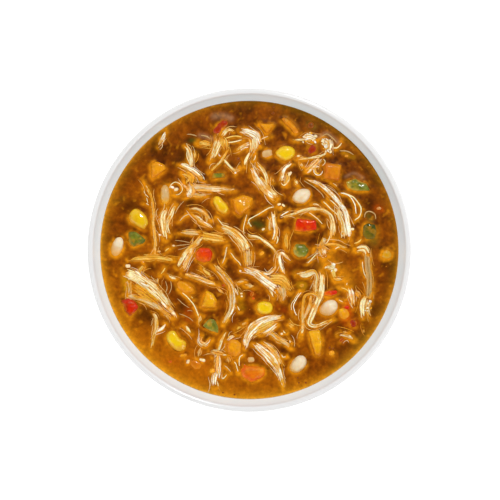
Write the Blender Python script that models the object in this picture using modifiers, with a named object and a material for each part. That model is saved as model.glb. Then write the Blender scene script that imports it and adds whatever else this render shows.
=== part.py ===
"""Chicken vegetable soup in a plain white glazed bowl.

A turned bowl holds soup up to a level below the rim. Corn, beans, carrot and
pepper pieces float half sunk in pockets of the soup, and shredded chicken
lies on it. Plan places below are millimetres from the bowl's centre, with +Y
towards the far side. The origin is the middle of the foot ring's underside.
"""

import math
from collections import namedtuple

import bmesh
import bpy
from mathutils import Matrix, Vector

MM = 0.001

# Bowl
RIM_RADIUS = 81 * MM
RIM_HEIGHT = 58 * MM
LIP_THICKNESS = 3.0 * MM
FLOOR_HEIGHT = 8.5 * MM
FLOOR_RADIUS = 30.2 * MM
WALL_END_DEG = 68
BASE_THICKNESS = 4.2 * MM
FOOT_OUTER = 40 * MM
FOOT_INNER = 34 * MM
FOOT_HEIGHT = 5 * MM
FOOT_RECESS = 2.6 * MM
FOOT_EDGE = 0.7 * MM
OUTER_START_DEG = 12
BOWL_STEPS = 48
WALL_STEPS = 5
LIP_STEPS = 3
SMOOTH_DEG = 40

# Soup
SOUP_LEVEL = 48 * MM
GAP = 0.3 * MM

# Vegetables
POCKET_CLEARANCE = 0.42 * MM
KERNEL_THICKNESS = 4.6 * MM
KERNEL_TAPER = 0.16
KERNEL_BLUNTNESS = 0.8
BEAN_THICKNESS = 6.0 * MM
BEAN_BEND = 0.16
THICKNESS_PER_WIDTH = 0.9
ROUND_SEGMENTS = 10
ROUND_RINGS = 6
SLAB_EDGE_DEG = 20
SLAB_FLAT_DEG = 1
SLAB_BEVEL_PER_THICKNESS = 0.16

# Chicken shreds: a flat underside and an uneven ridged top, half width 1 mm
SHRED_SECTION_MM = [(-1.0, 0.0), (1.0, 0.0), (0.62, 0.72), (0.05, 1.0), (-0.55, 0.78)]
SHRED_LIFT = 0.07 * MM
LONG_ROUTE = 6
STEPS_PER_LEG = 2
WELD = 0.01 * MM
SLIVER = 0.002 * MM

Round = namedtuple("Round", "name kind x y turn length width rise")
Slab = namedtuple("Slab", "name kind outline thickness rise tilt")
Strip = namedtuple("Strip", "route widths")

# Linear colour and roughness of each kind of piece
FINISHES = {
    "porcelain": ((0.86, 0.87, 0.86, 1), 0.12),
    "soup": ((0.30, 0.085, 0.012, 1), 0.15),
    "corn": ((0.85, 0.58, 0.03, 1), 0.3),
    "bean": ((0.62, 0.44, 0.24, 1), 0.35),
    "carrot": ((0.85, 0.30, 0.02, 1), 0.3),
    "red_pepper": ((0.60, 0.05, 0.01, 1), 0.25),
    "green_pepper": ((0.18, 0.20, 0.02, 1), 0.25),
    "chicken": ((0.80, 0.62, 0.36, 1), 0.45),
}

# Corn kernels and beans: place, turn of the long axis, plan size, height above the soup
ROUNDS = [
    Round("corn_1", "corn", 18.3, 49.0, -12, 10.0, 7.5, 2.0),
    Round("corn_2", "corn", -56.3, 16.2, 62, 10.0, 8.6, 2.0),
    Round("corn_3", "corn", -14.8, 22.9, -63, 11.0, 5.6, 2.2),
    Round("corn_4", "corn", 69.3, -1.9, 170, 6.6, 5.2, 0.8),
    Round("corn_5", "corn", -37.2, -45.7, 135, 11.2, 9.4, 2.4),
    Round("corn_6", "corn", 7.7, -29.4, 0, 9.0, 6.8, 2.2),
    Round("bean_1", "bean", -67.0, 1.9, 69, 12.0, 6.0, 1.4),
    Round("bean_2", "bean", -42.6, 28.2, 88, 11.0, 4.8, 1.6),
    Round("bean_3", "bean", 26.5, 27.3, 20, 10.0, 8.0, 2.4),
    Round("bean_4", "bean", 39.8, -29.3, 12, 10.0, 8.2, 2.4),
    Round("bean_5", "bean", 24.6, -57.3, 45, 11.0, 8.0, 2.4),
]

# Cut pieces: outline in plan, thickness, height above the soup, tilt about X and Y
SLABS = [
    Slab("carrot_1", "carrot", [(-49.5, 36), (-47, 36.8), (-42, 41), (-43, 43.4), (-47, 45),
                                (-49.5, 43.6)], 5.5, 2.0, (3, -4)),
    Slab("carrot_2", "carrot", [(4.7, 63.8), (9, 58.5), (12.8, 63.6)], 4.5, 1.6, (-3, 2)),
    Slab("carrot_3", "carrot", [(15.8, 66.4), (18, 63.6), (21, 61), (23.2, 58.4), (25.2, 59.2),
                                (23.6, 62), (20.8, 65), (17.6, 67.2)], 4.5, 1.4, (0, 3)),
    Slab("carrot_4", "carrot", [(37, 35.9), (45.4, 34.7), (46.6, 43.1), (38.2, 44.3)],
         7.0, 2.8, (4, 3)),
    Slab("carrot_5", "carrot", [(-9, 25.4), (-7.6, 19), (-5, 17), (1, 22), (2, 26), (-3, 28)],
         6.0, 2.6, (-3, 4)),
    Slab("carrot_6", "carrot", [(-37, -17), (-36, -20), (-32.5, -22), (-28.2, -21.4),
                                (-28, -19.4), (-31.5, -16.2), (-35.6, -15.2)], 5.0, 1.2, (2, -3)),
    Slab("carrot_7", "carrot", [(-21.6, -20.4), (-24.8, -29.4), (-16.6, -29.4), (-16.2, -25.4),
                                (-18.2, -22)], 6.5, 2.4, (-4, -5)),
    Slab("carrot_8", "carrot", [(29.8, -41), (31.4, -47.6), (33.4, -53.6), (36.2, -53.6),
                                (37, -46), (35.6, -40.2)], 6.0, 2.4, (0, -5)),
    Slab("carrot_9", "carrot", [(-12, -47.6), (-11, -52.4), (-7, -54.2), (-4, -52),
                                (-4, -47), (-6.4, -45), (-10, -45)], 6.0, 1.8, (2, 0)),
    Slab("carrot_10", "carrot", [(-4.6, -60.4), (-3.4, -64.4), (1, -67), (5, -65.4),
                                 (8.2, -63.4), (8.2, -59.8), (4, -58.7), (-2, -58.4)],
         6.0, 1.8, (-3, 2)),
    Slab("red_pepper_1", "red_pepper", [(24, 16), (22.6, 9.6), (29, 9), (34, 10.6), (33.4, 15)],
         3.6, 1.8, (3, 0)),
    Slab("red_pepper_2", "red_pepper", [(-27.4, -1.6), (-26.8, -5), (-23, -6.6), (-19.6, -5.6),
                                        (-18.4, -1.6), (-20.2, 1), (-25, 1.2)], 5.0, 2.4, (0, 6)),
    Slab("red_pepper_3", "red_pepper", [(-65, -25.4), (-63, -30.4), (-60.4, -34), (-57.8, -32),
                                        (-55.8, -29.2), (-57.6, -25.8), (-61, -24.3)],
         4.0, 1.6, (-4, 3)),
    Slab("red_pepper_4", "red_pepper", [(37.4, -22.8), (41, -23.5), (44.6, -21.8), (44, -20.3),
                                        (40, -20.5), (37.6, -21.3)], 3.0, 1.2, (0, 0)),
    Slab("green_pepper_1", "green_pepper", [(-19, 36.2), (-12.3, 36.6), (-12.5, 38.8),
                                            (-18.5, 38.8)], 3.0, 1.2, (0, 0)),
    Slab("green_pepper_2", "green_pepper", [(-61, 9), (-61, 4), (-58.5, 1.2), (-53.5, 3.4),
                                            (-52, 5.2), (-57.5, 9.3)], 3.6, 1.4, (2, -3)),
    Slab("green_pepper_3", "green_pepper", [(48.4, 34.4), (49.6, 31), (55, 29.7), (61, 29.9),
                                            (59, 33.4), (53.5, 36.1)], 3.6, 1.4, (-3, 0)),
    Slab("green_pepper_4", "green_pepper", [(57, 7.2), (59, 5.3), (63, 5.6), (64.6, 9), (63.4, 13),
                                            (60, 14), (57.2, 12)], 4.0, 0.9, (0, 2)),
    Slab("green_pepper_5", "green_pepper", [(21.7, 0.4), (22.6, -2.2), (25, -3.8), (28.5, -3.3),
                                            (30.2, 0), (28, 2.8), (23.6, 3.1)], 4.5, 2.2, (-3, -3)),
    Slab("green_pepper_6", "green_pepper", [(-20, -34.4), (-24, -38.3), (-20, -40.7),
                                            (-15.6, -42), (-15.8, -38), (-17.5, -35)],
         4.2, 2.0, (3, 3)),
]

# Shredded chicken: each node is a tangle of strips that touch. A strip has the
# points of its route in plan and its widths, spread evenly from start to end.
SHREDS = {
    "chicken_1": [
        Strip([(-32.6, 53.2), (-30.4, 50), (-29.4, 45), (-29.4, 40.6)], (1.6, 2.2, 1.4)),
        Strip([(-36, 43.5), (-30, 40.8), (-26, 38), (-22.4, 34.8)], (1.4, 2.2, 1.4)),
        Strip([(-33.4, 39), (-29.4, 36.8), (-30.4, 33)], (2.4, 3.2, 3.6)),
        Strip([(-31.4, 34), (-29.4, 29.6), (-32.4, 26.8)], (4.0, 4.4, 2.6)),
        Strip([(-29.6, 31.6), (-20, 31), (-14, 30.6), (-6.6, 30.2)], (3.4, 2.8, 1.0)),
        Strip([(-29.4, 28.2), (-25.6, 27.4), (-21.6, 27.8)], (2.6, 2.4, 1.4)),
    ],
    "chicken_2": [
        Strip([(-16.2, 57.4), (-18.7, 48), (-20, 44.6)], (1.6, 1.8, 1.2)),
        Strip([(-14.4, 56.6), (-16.6, 50), (-18.4, 45.4)], (2.4, 2.4, 1.0)),
        Strip([(-14.6, 56.4), (-11.6, 59.8), (-9.5, 60.6), (-7.4, 59.4)], (2.0, 1.3, 1.0)),
        Strip([(-13.4, 57), (-12.6, 54), (-11.6, 50.6)], (3.6, 4.4, 2.6)),
        Strip([(-9.6, 52.2), (-11.6, 49.4), (-14, 45.5), (-18.4, 41), (-21, 38.9)],
              (1.4, 1.1, 0.8)),
        Strip([(-13.2, 46.2), (-9, 41.5), (-6.5, 40.3), (-4.4, 41.8)], (1.2, 1.1, 0.9)),
    ],
    "chicken_3": [
        Strip([(-4.6, 60.4), (0, 59.4), (3.6, 57.4), (5.4, 52.8)], (2.4, 4.2, 3.0)),
        Strip([(1.2, 57.4), (2.2, 53), (0.9, 48.6)], (3.2, 4.2, 2.2)),
        Strip([(-7, 50), (-4, 52), (0.8, 54.2)], (1.0, 1.6, 2.2)),
        Strip([(0.6, 50), (-1.8, 45), (-2.5, 41.8)], (1.8, 1.5, 1.0)),
    ],
    "chicken_4": [
        Strip([(0.7, 42.8), (3, 37), (5.6, 33), (9, 29), (13, 25.4)], (1.6, 3.2, 2.6)),
        Strip([(4.6, 38), (9.4, 31.4), (14.3, 26.6)], (1.6, 2.4, 1.8)),
        Strip([(3.6, 44), (6, 41.5), (8.3, 37.4), (9.4, 32)], (1.2, 2.0, 2.0)),
    ],
    "chicken_5": [
        Strip([(21.6, 43.8), (18, 41), (16.5, 37), (16.2, 34)], (1.2, 1.8, 1.5)),
        Strip([(16.4, 34.2), (17.6, 33), (19.6, 35.8), (19, 39.6)], (1.5, 2.0, 2.0)),
    ],
    "chicken_6": [
        Strip([(26.6, 56), (30, 57.2), (34, 55.8)], (2.6, 3.6, 2.2)),
        Strip([(21.8, 55.2), (27, 55.6), (32.6, 55)], (0.8, 1.2, 1.6)),
    ],
    "chicken_7": [
        Strip([(37.4, 56), (39.6, 53), (39.4, 49.6)], (2.6, 4.2, 3.2)),
        Strip([(23.2, 45.9), (31, 46.4), (36, 47.4), (40.2, 49.6)], (0.9, 1.2, 1.4)),
        Strip([(36.4, 47), (32, 42.4), (28.8, 39.4)], (1.6, 2.8, 2.2)),
        Strip([(34.4, 44.2), (33, 41), (34.2, 38.6), (35.8, 39.4)], (1.0, 0.9, 0.9)),
    ],
    "chicken_8": [
        Strip([(29.2, 36), (36, 32.8), (42, 27.5), (48, 20), (49.7, 13), (50.8, 5.4)],
              (1.4, 2.2, 2.4, 2.4)),
        Strip([(45.6, 23.4), (45.2, 18.6), (47.2, 12.6), (47.8, 5.6)], (1.4, 1.8, 3.4)),
    ],
    "chicken_9": [
        Strip([(15.6, 15.6), (20, 17.6), (27, 20), (33, 20.9), (37.8, 20), (41.2, 17.2),
               (42.2, 12), (42.4, 6)], (1.0, 1.6, 1.6, 3.2)),
    ],
    "chicken_10": [
        Strip([(11.9, 19.4), (12.7, 14), (13.4, 10), (12.6, 6), (11.6, 4.2)], (2.0, 2.3, 1.4)),
        Strip([(11.9, 17.8), (10.2, 13.6), (10.6, 9)], (1.2, 1.5, 1.2)),
    ],
    "chicken_11": [
        Strip([(-14.6, 11.8), (-8.6, 9.2), (-4, 4.6), (-0.6, -1)], (2.6, 4.6, 5.0)),
        Strip([(-0.8, 0.6), (-0.6, -4), (-0.4, -9)], (4.6, 4.4, 3.6)),
        Strip([(-2.4, -9.6), (3, -11.6), (8.6, -15.6), (14.4, -19.4)], (2.2, 4.4, 5.4)),
        Strip([(9.6, -15), (16, -15.4), (20.4, -20.8)], (4.4, 5.6, 3.0)),
        Strip([(14.4, -17.6), (16.6, -21), (17.4, -25.8)], (4.0, 3.6, 1.8)),
        Strip([(4, -11.4), (9.2, -12), (12.6, -9.4), (13.8, -6.6)], (1.6, 1.3, 0.9)),
        Strip([(17.4, -13), (15.4, -7), (15, -2.6), (17, -1.5), (20.6, -5.4)], (1.8, 1.3, 0.9)),
    ],
    "chicken_12": [
        Strip([(-12, 5.4), (-17, 6), (-24.6, 7.4)], (2.4, 3.8, 3.6)),
        Strip([(-24, 7.4), (-27.6, 2.6), (-32, -1.4), (-36.6, -9)], (2.6, 2.8, 1.6)),
        Strip([(-28, 1.6), (-31, -4), (-33.6, -10.2)], (2.2, 2.4, 1.6)),
        Strip([(-24.4, 8.2), (-29, 8.6), (-35.6, 9)], (2.2, 2.2, 1.2)),
    ],
    "chicken_13": [
        Strip([(-30.4, 21), (-26, 20.6), (-22, 18.2), (-19, 14.6)], (1.0, 1.5, 1.2)),
        Strip([(-29, 18.6), (-26, 16.2), (-22.6, 13.4), (-18.2, 11.4)], (1.2, 2.2, 1.4)),
        Strip([(-22.4, 18.4), (-21.4, 16), (-21.4, 13.2)], (1.2, 1.4, 1.2)),
    ],
    "chicken_14": [
        Strip([(-41.6, 21.4), (-43.6, 17), (-43.4, 12), (-42.2, 5.4)], (1.8, 3.2, 2.2)),
        Strip([(-37.2, 23.4), (-39.2, 18.5), (-41.8, 12.4), (-40.2, 7)], (1.2, 2.4, 1.4)),
    ],
    "chicken_15": [
        Strip([(-53, 34.6), (-49.4, 26), (-48.5, 19), (-48.7, 13), (-47.6, 5), (-48, -3.8)],
              (0.8, 1.2, 1.5)),
        Strip([(-61, -4.9), (-55, -4.2), (-46, -3.9), (-37.4, -5.2)], (1.2, 2.4, 1.4)),
    ],
    "chicken_16": [
        Strip([(-63.4, -11.6), (-57, -14), (-50, -18.8), (-44, -24.6), (-37.8, -33)],
              (4.0, 6.0, 2.2)),
        Strip([(-62.8, -23), (-56, -24.2), (-48, -27.6), (-39.4, -33.8)], (1.6, 3.0, 2.0)),
        Strip([(-60.6, -15.6), (-60.2, -19.6), (-60.4, -23.2)], (2.6, 1.8, 2.2)),
        Strip([(-58.8, -17.4), (-53, -21), (-45, -27.4)], (4.2, 6.0, 3.4)),
        Strip([(-57, -13.4), (-55, -10), (-52.9, -7.8)], (2.6, 1.8, 1.0)),
    ],
    "chicken_17": [
        Strip([(-33.6, -12), (-27, -13.8), (-21, -16), (-15.6, -17.4)], (1.4, 2.2, 1.2)),
    ],
    "chicken_18": [
        Strip([(-18.6, -7.4), (-13, -13), (-9.4, -17.6), (-8.5, -24), (-9.2, -30.4),
               (-13.4, -38)], (1.8, 3.1, 3.1, 1.6)),
        Strip([(-9, -18.6), (-7, -20.6), (-5.6, -23)], (1.8, 1.5, 1.2)),
    ],
    "chicken_19": [
        Strip([(-49.3, -31), (-47.2, -34.4), (-47, -39.4), (-48.3, -43.6), (-49.5, -50)],
              (1.2, 2.4, 1.0)),
        Strip([(-42.2, -37), (-44.6, -39.8), (-48, -41.2)], (1.0, 1.4, 1.8)),
    ],
    "chicken_20": [
        Strip([(-11.6, -41), (-13.8, -45), (-15, -48.4), (-16, -52)], (1.0, 1.5, 1.6)),
        Strip([(-20, -51), (-15.6, -51.8), (-11.6, -53)], (1.2, 2.6, 1.4)),
        Strip([(-15.6, -51.8), (-15.6, -58), (-15.7, -64.8)], (2.0, 3.2, 1.6)),
        Strip([(-16, -60), (-17.8, -64.6), (-18, -69)], (1.8, 2.4, 1.9)),
    ],
    "chicken_21": [
        Strip([(-2.2, -49.6), (-1, -44), (2.4, -39.2), (8, -35.2), (16.8, -33.6)],
              (1.8, 5.6, 1.2)),
        Strip([(5.6, -42.6), (10, -40.6), (14.4, -37.4)], (1.4, 2.2, 1.4)),
        Strip([(0.6, -42), (6, -39.4), (12.8, -36.2)], (3.6, 4.6, 2.6)),
        Strip([(10, -40.8), (14, -44.4), (19, -47.4), (21.5, -49.8)], (1.6, 2.4, 1.2)),
    ],
    "chicken_22": [
        Strip([(2, -47.4), (6.4, -50.6), (11, -55), (14.6, -60.6), (17.8, -70.6)],
              (2.0, 4.8, 1.0)),
        Strip([(6.8, -46.6), (11, -50), (14.2, -54.4), (16.2, -59.6)], (1.4, 2.8, 1.8)),
    ],
    "chicken_23": [
        Strip([(36.4, -10.8), (37, -15), (35.7, -23), (31.6, -33), (30.4, -37.2), (33.4, -38.4),
               (38, -36.8), (43.6, -34.4)], (1.6, 2.8, 2.2, 1.3, 0.9)),
        Strip([(35.2, -23.4), (31.4, -22.2), (27.8, -24), (26.9, -33), (27.1, -39), (25.9, -44.4)],
              (1.4, 1.3, 1.7, 1.0)),
        Strip([(31.3, -22.1), (30.3, -28.4), (27.4, -35.4)], (1.0, 1.9, 1.1)),
        Strip([(24, -12), (28.4, -12.4), (32.6, -11), (34.2, -14), (33.6, -19), (34.2, -23.4)],
              (2.6, 3.4, 1.5, 1.3, 1.3)),
    ],
    "chicken_24": [
        Strip([(38.4, -8), (41.6, -8.7), (43.8, -8.8)], (1.6, 3.0, 1.8)),
        Strip([(42.8, -8.6), (42.6, -12), (43.6, -14.4)], (2.2, 1.8, 1.6)),
        Strip([(42.2, -14.2), (44, -14.8), (47.4, -14.7)], (1.2, 1.8, 1.2)),
    ],
    "chicken_25": [
        Strip([(50.7, -18.8), (51.8, -23), (52.6, -28.6)], (1.6, 3.2, 1.8)),
    ],
    "chicken_26": [
        Strip([(54, 0.2), (58, 0.6), (59.8, -2.4)], (2.4, 3.2, 2.6)),
        Strip([(59.6, -1.6), (59.8, -9), (60.6, -15), (60.6, -21), (60.6, -26)],
              (2.6, 3.2, 3.0)),
        Strip([(59.4, -22.6), (57.2, -27), (57.2, -34)], (2.0, 3.2, 2.4)),
        Strip([(60.4, -25), (59.4, -30), (60.8, -34)], (3.2, 3.2, 2.2)),
    ],
    "chicken_27": [
        Strip([(38, 6.8), (36.8, 3.4), (36.6, 0.4)], (1.0, 2.0, 3.6)),
        Strip([(33.8, -0.8), (36.8, -0.4), (39.8, -1.4)], (3.4, 5.2, 3.4)),
        Strip([(37.2, 2.6), (43, 2.8), (49.6, 0.7)], (1.6, 1.5, 1.0)),
    ],
}


def clear_scene():
    """Remove every object that the scene holds."""
    for old in list(bpy.data.objects):
        bpy.data.objects.remove(old, do_unlink=True)


def new_collection(name):
    """Make a collection in the scene."""
    collection = bpy.data.collections.new(name)
    bpy.context.scene.collection.children.link(collection)
    return collection


def finish_for(kind):
    """Give the Principled material of a kind of piece, made once."""
    material = bpy.data.materials.get(kind)
    if material is None:
        material = bpy.data.materials.new(kind)
        material.use_nodes = True
        shader = material.node_tree.nodes["Principled BSDF"]
        colour, roughness = FINISHES[kind]
        shader.inputs["Base Color"].default_value = colour
        shader.inputs["Roughness"].default_value = roughness
        shader.inputs["Metallic"].default_value = 0.0
        material.diffuse_color = colour
    return material


def object_from(name, mesh, collection, kind=None):
    """Link a mesh as an object, with its kind's material."""
    piece = bpy.data.objects.new(name, mesh)
    collection.objects.link(piece)
    if kind:
        mesh.materials.clear()
        mesh.materials.append(finish_for(kind))
    return piece


def mesh_from(name, shape):
    """Turn a bmesh into a mesh with faces outwards, and free the bmesh."""
    bmesh.ops.recalc_face_normals(shape, faces=shape.faces)
    mesh = bpy.data.meshes.new(name)
    shape.to_mesh(mesh)
    shape.free()
    mesh.shade_smooth()
    mesh.set_sharp_from_angle(angle=math.radians(SMOOTH_DEG))
    return mesh


def evaluated_mesh(piece):
    """Give the mesh of an object with its modifiers applied."""
    depsgraph = bpy.context.evaluated_depsgraph_get()
    return bpy.data.meshes.new_from_object(piece.evaluated_get(depsgraph))


def wall_point(angle_deg, offset):
    """Give radius and height on the inner wall, moved outwards by offset.

    The wall is an arc of an ellipse that starts level at the floor's edge and
    ends at WALL_END_DEG under the lip.
    """
    lip_base = RIM_HEIGHT - LIP_THICKNESS / 2
    end = math.radians(WALL_END_DEG)
    reach = (RIM_RADIUS - LIP_THICKNESS - FLOOR_RADIUS) / math.sin(end)
    climb = (lip_base - FLOOR_HEIGHT) / (1 - math.cos(end))
    angle = math.radians(angle_deg)
    point = Vector((FLOOR_RADIUS + reach * math.sin(angle),
                    FLOOR_HEIGHT + climb * (1 - math.cos(angle))))
    outward = Vector((climb * math.sin(angle), -reach * math.cos(angle))).normalized()
    return point + outward * offset


def bowl_profile():
    """List the bowl's section from the lip's top, down the outside, to the floor."""
    half_lip = LIP_THICKNESS / 2
    lip_centre = Vector((RIM_RADIUS - half_lip, RIM_HEIGHT - half_lip))
    outer_lip = []
    inner_lip = []
    for step in range(LIP_STEPS + 1):
        angle = math.radians(90 * step / LIP_STEPS)
        outer_lip.append(lip_centre + half_lip * Vector((math.sin(angle), math.cos(angle))))
        inner_lip.append(lip_centre + half_lip * Vector((-math.cos(angle), math.sin(angle))))
    outer = []
    inner = []
    for step in range(1, WALL_STEPS + 1):
        share = 1 - step / WALL_STEPS
        thickness = BASE_THICKNESS + (LIP_THICKNESS - BASE_THICKNESS) * share
        outer_angle = OUTER_START_DEG + (WALL_END_DEG - OUTER_START_DEG) * share
        outer.append(wall_point(outer_angle, thickness))
        inner.append(wall_point(WALL_END_DEG * (1 - share), 0))
    foot = [
        Vector((FOOT_OUTER, FOOT_HEIGHT)),
        Vector((FOOT_OUTER, FOOT_EDGE)),
        Vector((FOOT_OUTER - FOOT_EDGE, 0)),
        Vector((FOOT_INNER + FOOT_EDGE, 0)),
        Vector((FOOT_INNER, FOOT_EDGE)),
        Vector((FOOT_INNER - FOOT_EDGE, FOOT_RECESS)),
        Vector((0, FOOT_RECESS)),
    ]
    inside = [Vector((0, FLOOR_HEIGHT)), wall_point(0, 0)] + inner[:-1] + inner_lip
    return outer_lip + outer[:-1] + foot, inside[:-1]


def make_bowl(collection):
    """Turn the bowl's section about Z with a Screw modifier."""
    down_outside, up_inside = bowl_profile()
    points = down_outside + up_inside
    shape = bmesh.new()
    verts = [shape.verts.new((point.x, 0, point.y)) for point in points]
    for first, second in zip(verts, verts[1:] + verts[:1]):
        on_axis = first.co.x == 0 and second.co.x == 0
        if not on_axis:
            shape.edges.new((first, second))
    mesh = bpy.data.meshes.new("bowl")
    shape.to_mesh(mesh)
    shape.free()
    bowl = object_from("bowl", mesh, collection, "porcelain")
    turn = bowl.modifiers.new("turn", "SCREW")
    turn.axis = "Z"
    turn.steps = BOWL_STEPS
    turn.render_steps = BOWL_STEPS
    turn.use_merge_vertices = True
    turn.merge_threshold = WELD
    turn.use_smooth_shade = True
    return bowl


def soup_body(name):
    """Turn the soup's section, which follows the wall, and cap it above and below."""
    shape = bmesh.new()
    wall = [wall_point(WALL_END_DEG * step / WALL_STEPS, -GAP) for step in range(WALL_STEPS + 1)]
    under = [point for point in wall if point.y < SOUP_LEVEL]
    last, beyond = under[-1], wall[len(under)]
    edge = last.lerp(beyond, (SOUP_LEVEL - last.y) / (beyond.y - last.y))
    verts = [shape.verts.new((point.x, 0, point.y)) for point in reversed(under + [edge])]
    edges = [shape.edges.new(pair) for pair in zip(verts, verts[1:])]
    bmesh.ops.spin(shape, geom=verts + edges, cent=(0, 0, 0), axis=(0, 0, 1),
                   angle=math.tau, steps=BOWL_STEPS, use_duplicate=False)
    bmesh.ops.remove_doubles(shape, verts=shape.verts, dist=WELD)
    rims = [edge for edge in shape.edges if edge.is_boundary]
    bmesh.ops.holes_fill(shape, edges=rims)
    return mesh_from(name, shape)


def round_mesh(piece):
    """Shape a ball into a tapered kernel or a bent bean, at its place."""
    shape = bmesh.new()
    bmesh.ops.create_uvsphere(shape, u_segments=ROUND_SEGMENTS, v_segments=ROUND_RINGS, radius=1)
    thickness = KERNEL_THICKNESS if piece.kind == "corn" else BEAN_THICKNESS
    thickness = min(thickness, piece.width * MM * THICKNESS_PER_WIDTH)
    for vert in shape.verts:
        x, y, z = vert.co
        if piece.kind == "corn":
            # Blunt crown at +X, narrower towards the tip
            y *= 1.0 + KERNEL_TAPER * x
            x = math.copysign(abs(x) ** KERNEL_BLUNTNESS, x)
        else:
            y += BEAN_BEND * (0.5 - x * x)
        vert.co = (x * piece.length * MM / 2, y * piece.width * MM / 2, z * thickness / 2)
    place = Vector((piece.x * MM, piece.y * MM, SOUP_LEVEL + piece.rise * MM - thickness / 2))
    turn = Matrix.Rotation(math.radians(piece.turn), 4, "Z")
    bmesh.ops.transform(shape, matrix=Matrix.Translation(place) @ turn, verts=shape.verts)
    return mesh_from(piece.name, shape)


def slab_mesh(piece):
    """Cut a slab from its outline curve, round its edges, tilt it and place it."""
    centre = sum((Vector(point) for point in piece.outline), Vector((0, 0)))
    centre /= len(piece.outline)
    curve = bpy.data.curves.new("outline", "CURVE")
    curve.dimensions = "2D"
    curve.fill_mode = "BOTH"
    curve.extrude = piece.thickness * MM / 2
    spline = curve.splines.new("POLY")
    spline.points.add(len(piece.outline) - 1)
    for point, (x, y) in zip(spline.points, piece.outline):
        point.co = ((x - centre.x) * MM, (y - centre.y) * MM, 0, 1)
    spline.use_cyclic_u = True
    flat = bpy.data.objects.new("outline", curve)
    bpy.context.scene.collection.objects.link(flat)
    bpy.context.view_layer.update()
    shape = bmesh.new()
    shape.from_mesh(evaluated_mesh(flat))
    bpy.data.objects.remove(flat, do_unlink=True)
    bmesh.ops.remove_doubles(shape, verts=shape.verts, dist=WELD)
    bmesh.ops.dissolve_limit(shape, angle_limit=math.radians(SLAB_FLAT_DEG), verts=shape.verts,
                             edges=shape.edges)
    corner = math.radians(SLAB_EDGE_DEG)
    edges = [edge for edge in shape.edges if edge.calc_face_angle(0) > corner]
    bevel = piece.thickness * MM * SLAB_BEVEL_PER_THICKNESS
    bmesh.ops.bevel(shape, geom=edges, offset=bevel, segments=1, profile=0.5, affect="EDGES",
                    clamp_overlap=True)
    rise = SOUP_LEVEL + (piece.rise - piece.thickness / 2) * MM
    tilt_x, tilt_y = piece.tilt
    place = (Matrix.Translation((centre.x * MM, centre.y * MM, rise))
             @ Matrix.Rotation(math.radians(tilt_x), 4, "X")
             @ Matrix.Rotation(math.radians(tilt_y), 4, "Y"))
    bmesh.ops.transform(shape, matrix=place, verts=shape.verts)
    return mesh_from(piece.name, shape)


def make_pocket(piece, cutters):
    """Add a copy of a piece, swollen by the clearance, as a cutter."""
    shape = bmesh.new()
    shape.from_mesh(piece.data)
    shape.normal_update()
    moves = [vert.co + vert.normal * POCKET_CLEARANCE for vert in shape.verts]
    for vert, place in zip(shape.verts, moves):
        vert.co = place
    pocket = object_from(piece.name + "_pocket", mesh_from(piece.name + "_pocket", shape), cutters)
    pocket.hide_render = True
    pocket.display_type = "WIRE"
    return pocket


def blend(values, share):
    """Interpolate along a list of values, from its first to its last."""
    place = share * (len(values) - 1)
    index = min(int(place), len(values) - 2)
    part = place - index
    return values[index] * (1 - part) + values[index + 1] * part


def smooth_route(route, per_leg):
    """Read a curve through a route's points, with per_leg steps between two."""
    points = [Vector(point) for point in route]
    points = [2 * points[0] - points[1]] + points + [2 * points[-1] - points[-2]]
    smooth = []
    for index in range(1, len(points) - 2):
        before, start, end, after = points[index - 1:index + 3]
        for step in range(per_leg):
            t = step / per_leg
            smooth.append(0.5 * (2 * start + (end - before) * t
                                 + (2 * before - 5 * start + 4 * end - after) * t ** 2
                                 + (3 * start - before - 3 * end + after) * t ** 3))
    smooth.append(points[-2])
    return smooth


def shred_section():
    """Make the shreds' section as a closed curve, one millimetre to each side."""
    curve = bpy.data.curves.new("shred_section", "CURVE")
    curve.dimensions = "2D"
    spline = curve.splines.new("POLY")
    spline.points.add(len(SHRED_SECTION_MM) - 1)
    for point, (x, y) in zip(spline.points, SHRED_SECTION_MM):
        point.co = (x * MM, y * MM, 0, 1)
    spline.use_cyclic_u = True
    section = bpy.data.objects.new("shred_section", curve)
    bpy.context.scene.collection.objects.link(section)
    section.hide_render = True
    return section


def strip_object(strip, lift, section, collection):
    """Sweep the section along a strip's route, as wide as the strip's widths say."""
    curve = bpy.data.curves.new("strip", "CURVE")
    curve.dimensions = "3D"
    curve.twist_mode = "Z_UP"
    curve.bevel_mode = "OBJECT"
    curve.bevel_object = section
    curve.use_fill_caps = True
    per_leg = 1 if len(strip.route) > LONG_ROUTE else STEPS_PER_LEG
    points = smooth_route(strip.route, per_leg)
    spline = curve.splines.new("POLY")
    spline.points.add(len(points) - 1)
    for index, (point, place) in enumerate(zip(spline.points, points)):
        point.co = (place.x * MM, place.y * MM, SOUP_LEVEL + GAP + lift, 1)
        point.radius = blend(strip.widths, index / (len(points) - 1)) / 2
    sweep = bpy.data.objects.new("strip", curve)
    bpy.context.scene.collection.objects.link(sweep)
    bpy.context.view_layer.update()
    shape = bmesh.new()
    shape.from_mesh(evaluated_mesh(sweep))
    bpy.data.objects.remove(sweep, do_unlink=True)
    bmesh.ops.remove_doubles(shape, verts=shape.verts, dist=WELD)
    return object_from("strip", mesh_from("strip", shape), collection)


def largest_body(shape):
    """Drop every body of a bmesh but the one with the most faces."""
    unseen = set(shape.verts)
    bodies = []
    while unseen:
        front = [unseen.pop()]
        body = list(front)
        while front:
            for edge in front.pop().link_edges:
                for vert in edge.verts:
                    if vert in unseen:
                        unseen.remove(vert)
                        front.append(vert)
                        body.append(vert)
        bodies.append(body)
    bodies.sort(key=len)
    loose = [vert for body in bodies[:-1] for vert in body]
    bmesh.ops.delete(shape, geom=loose, context="VERTS")


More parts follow.
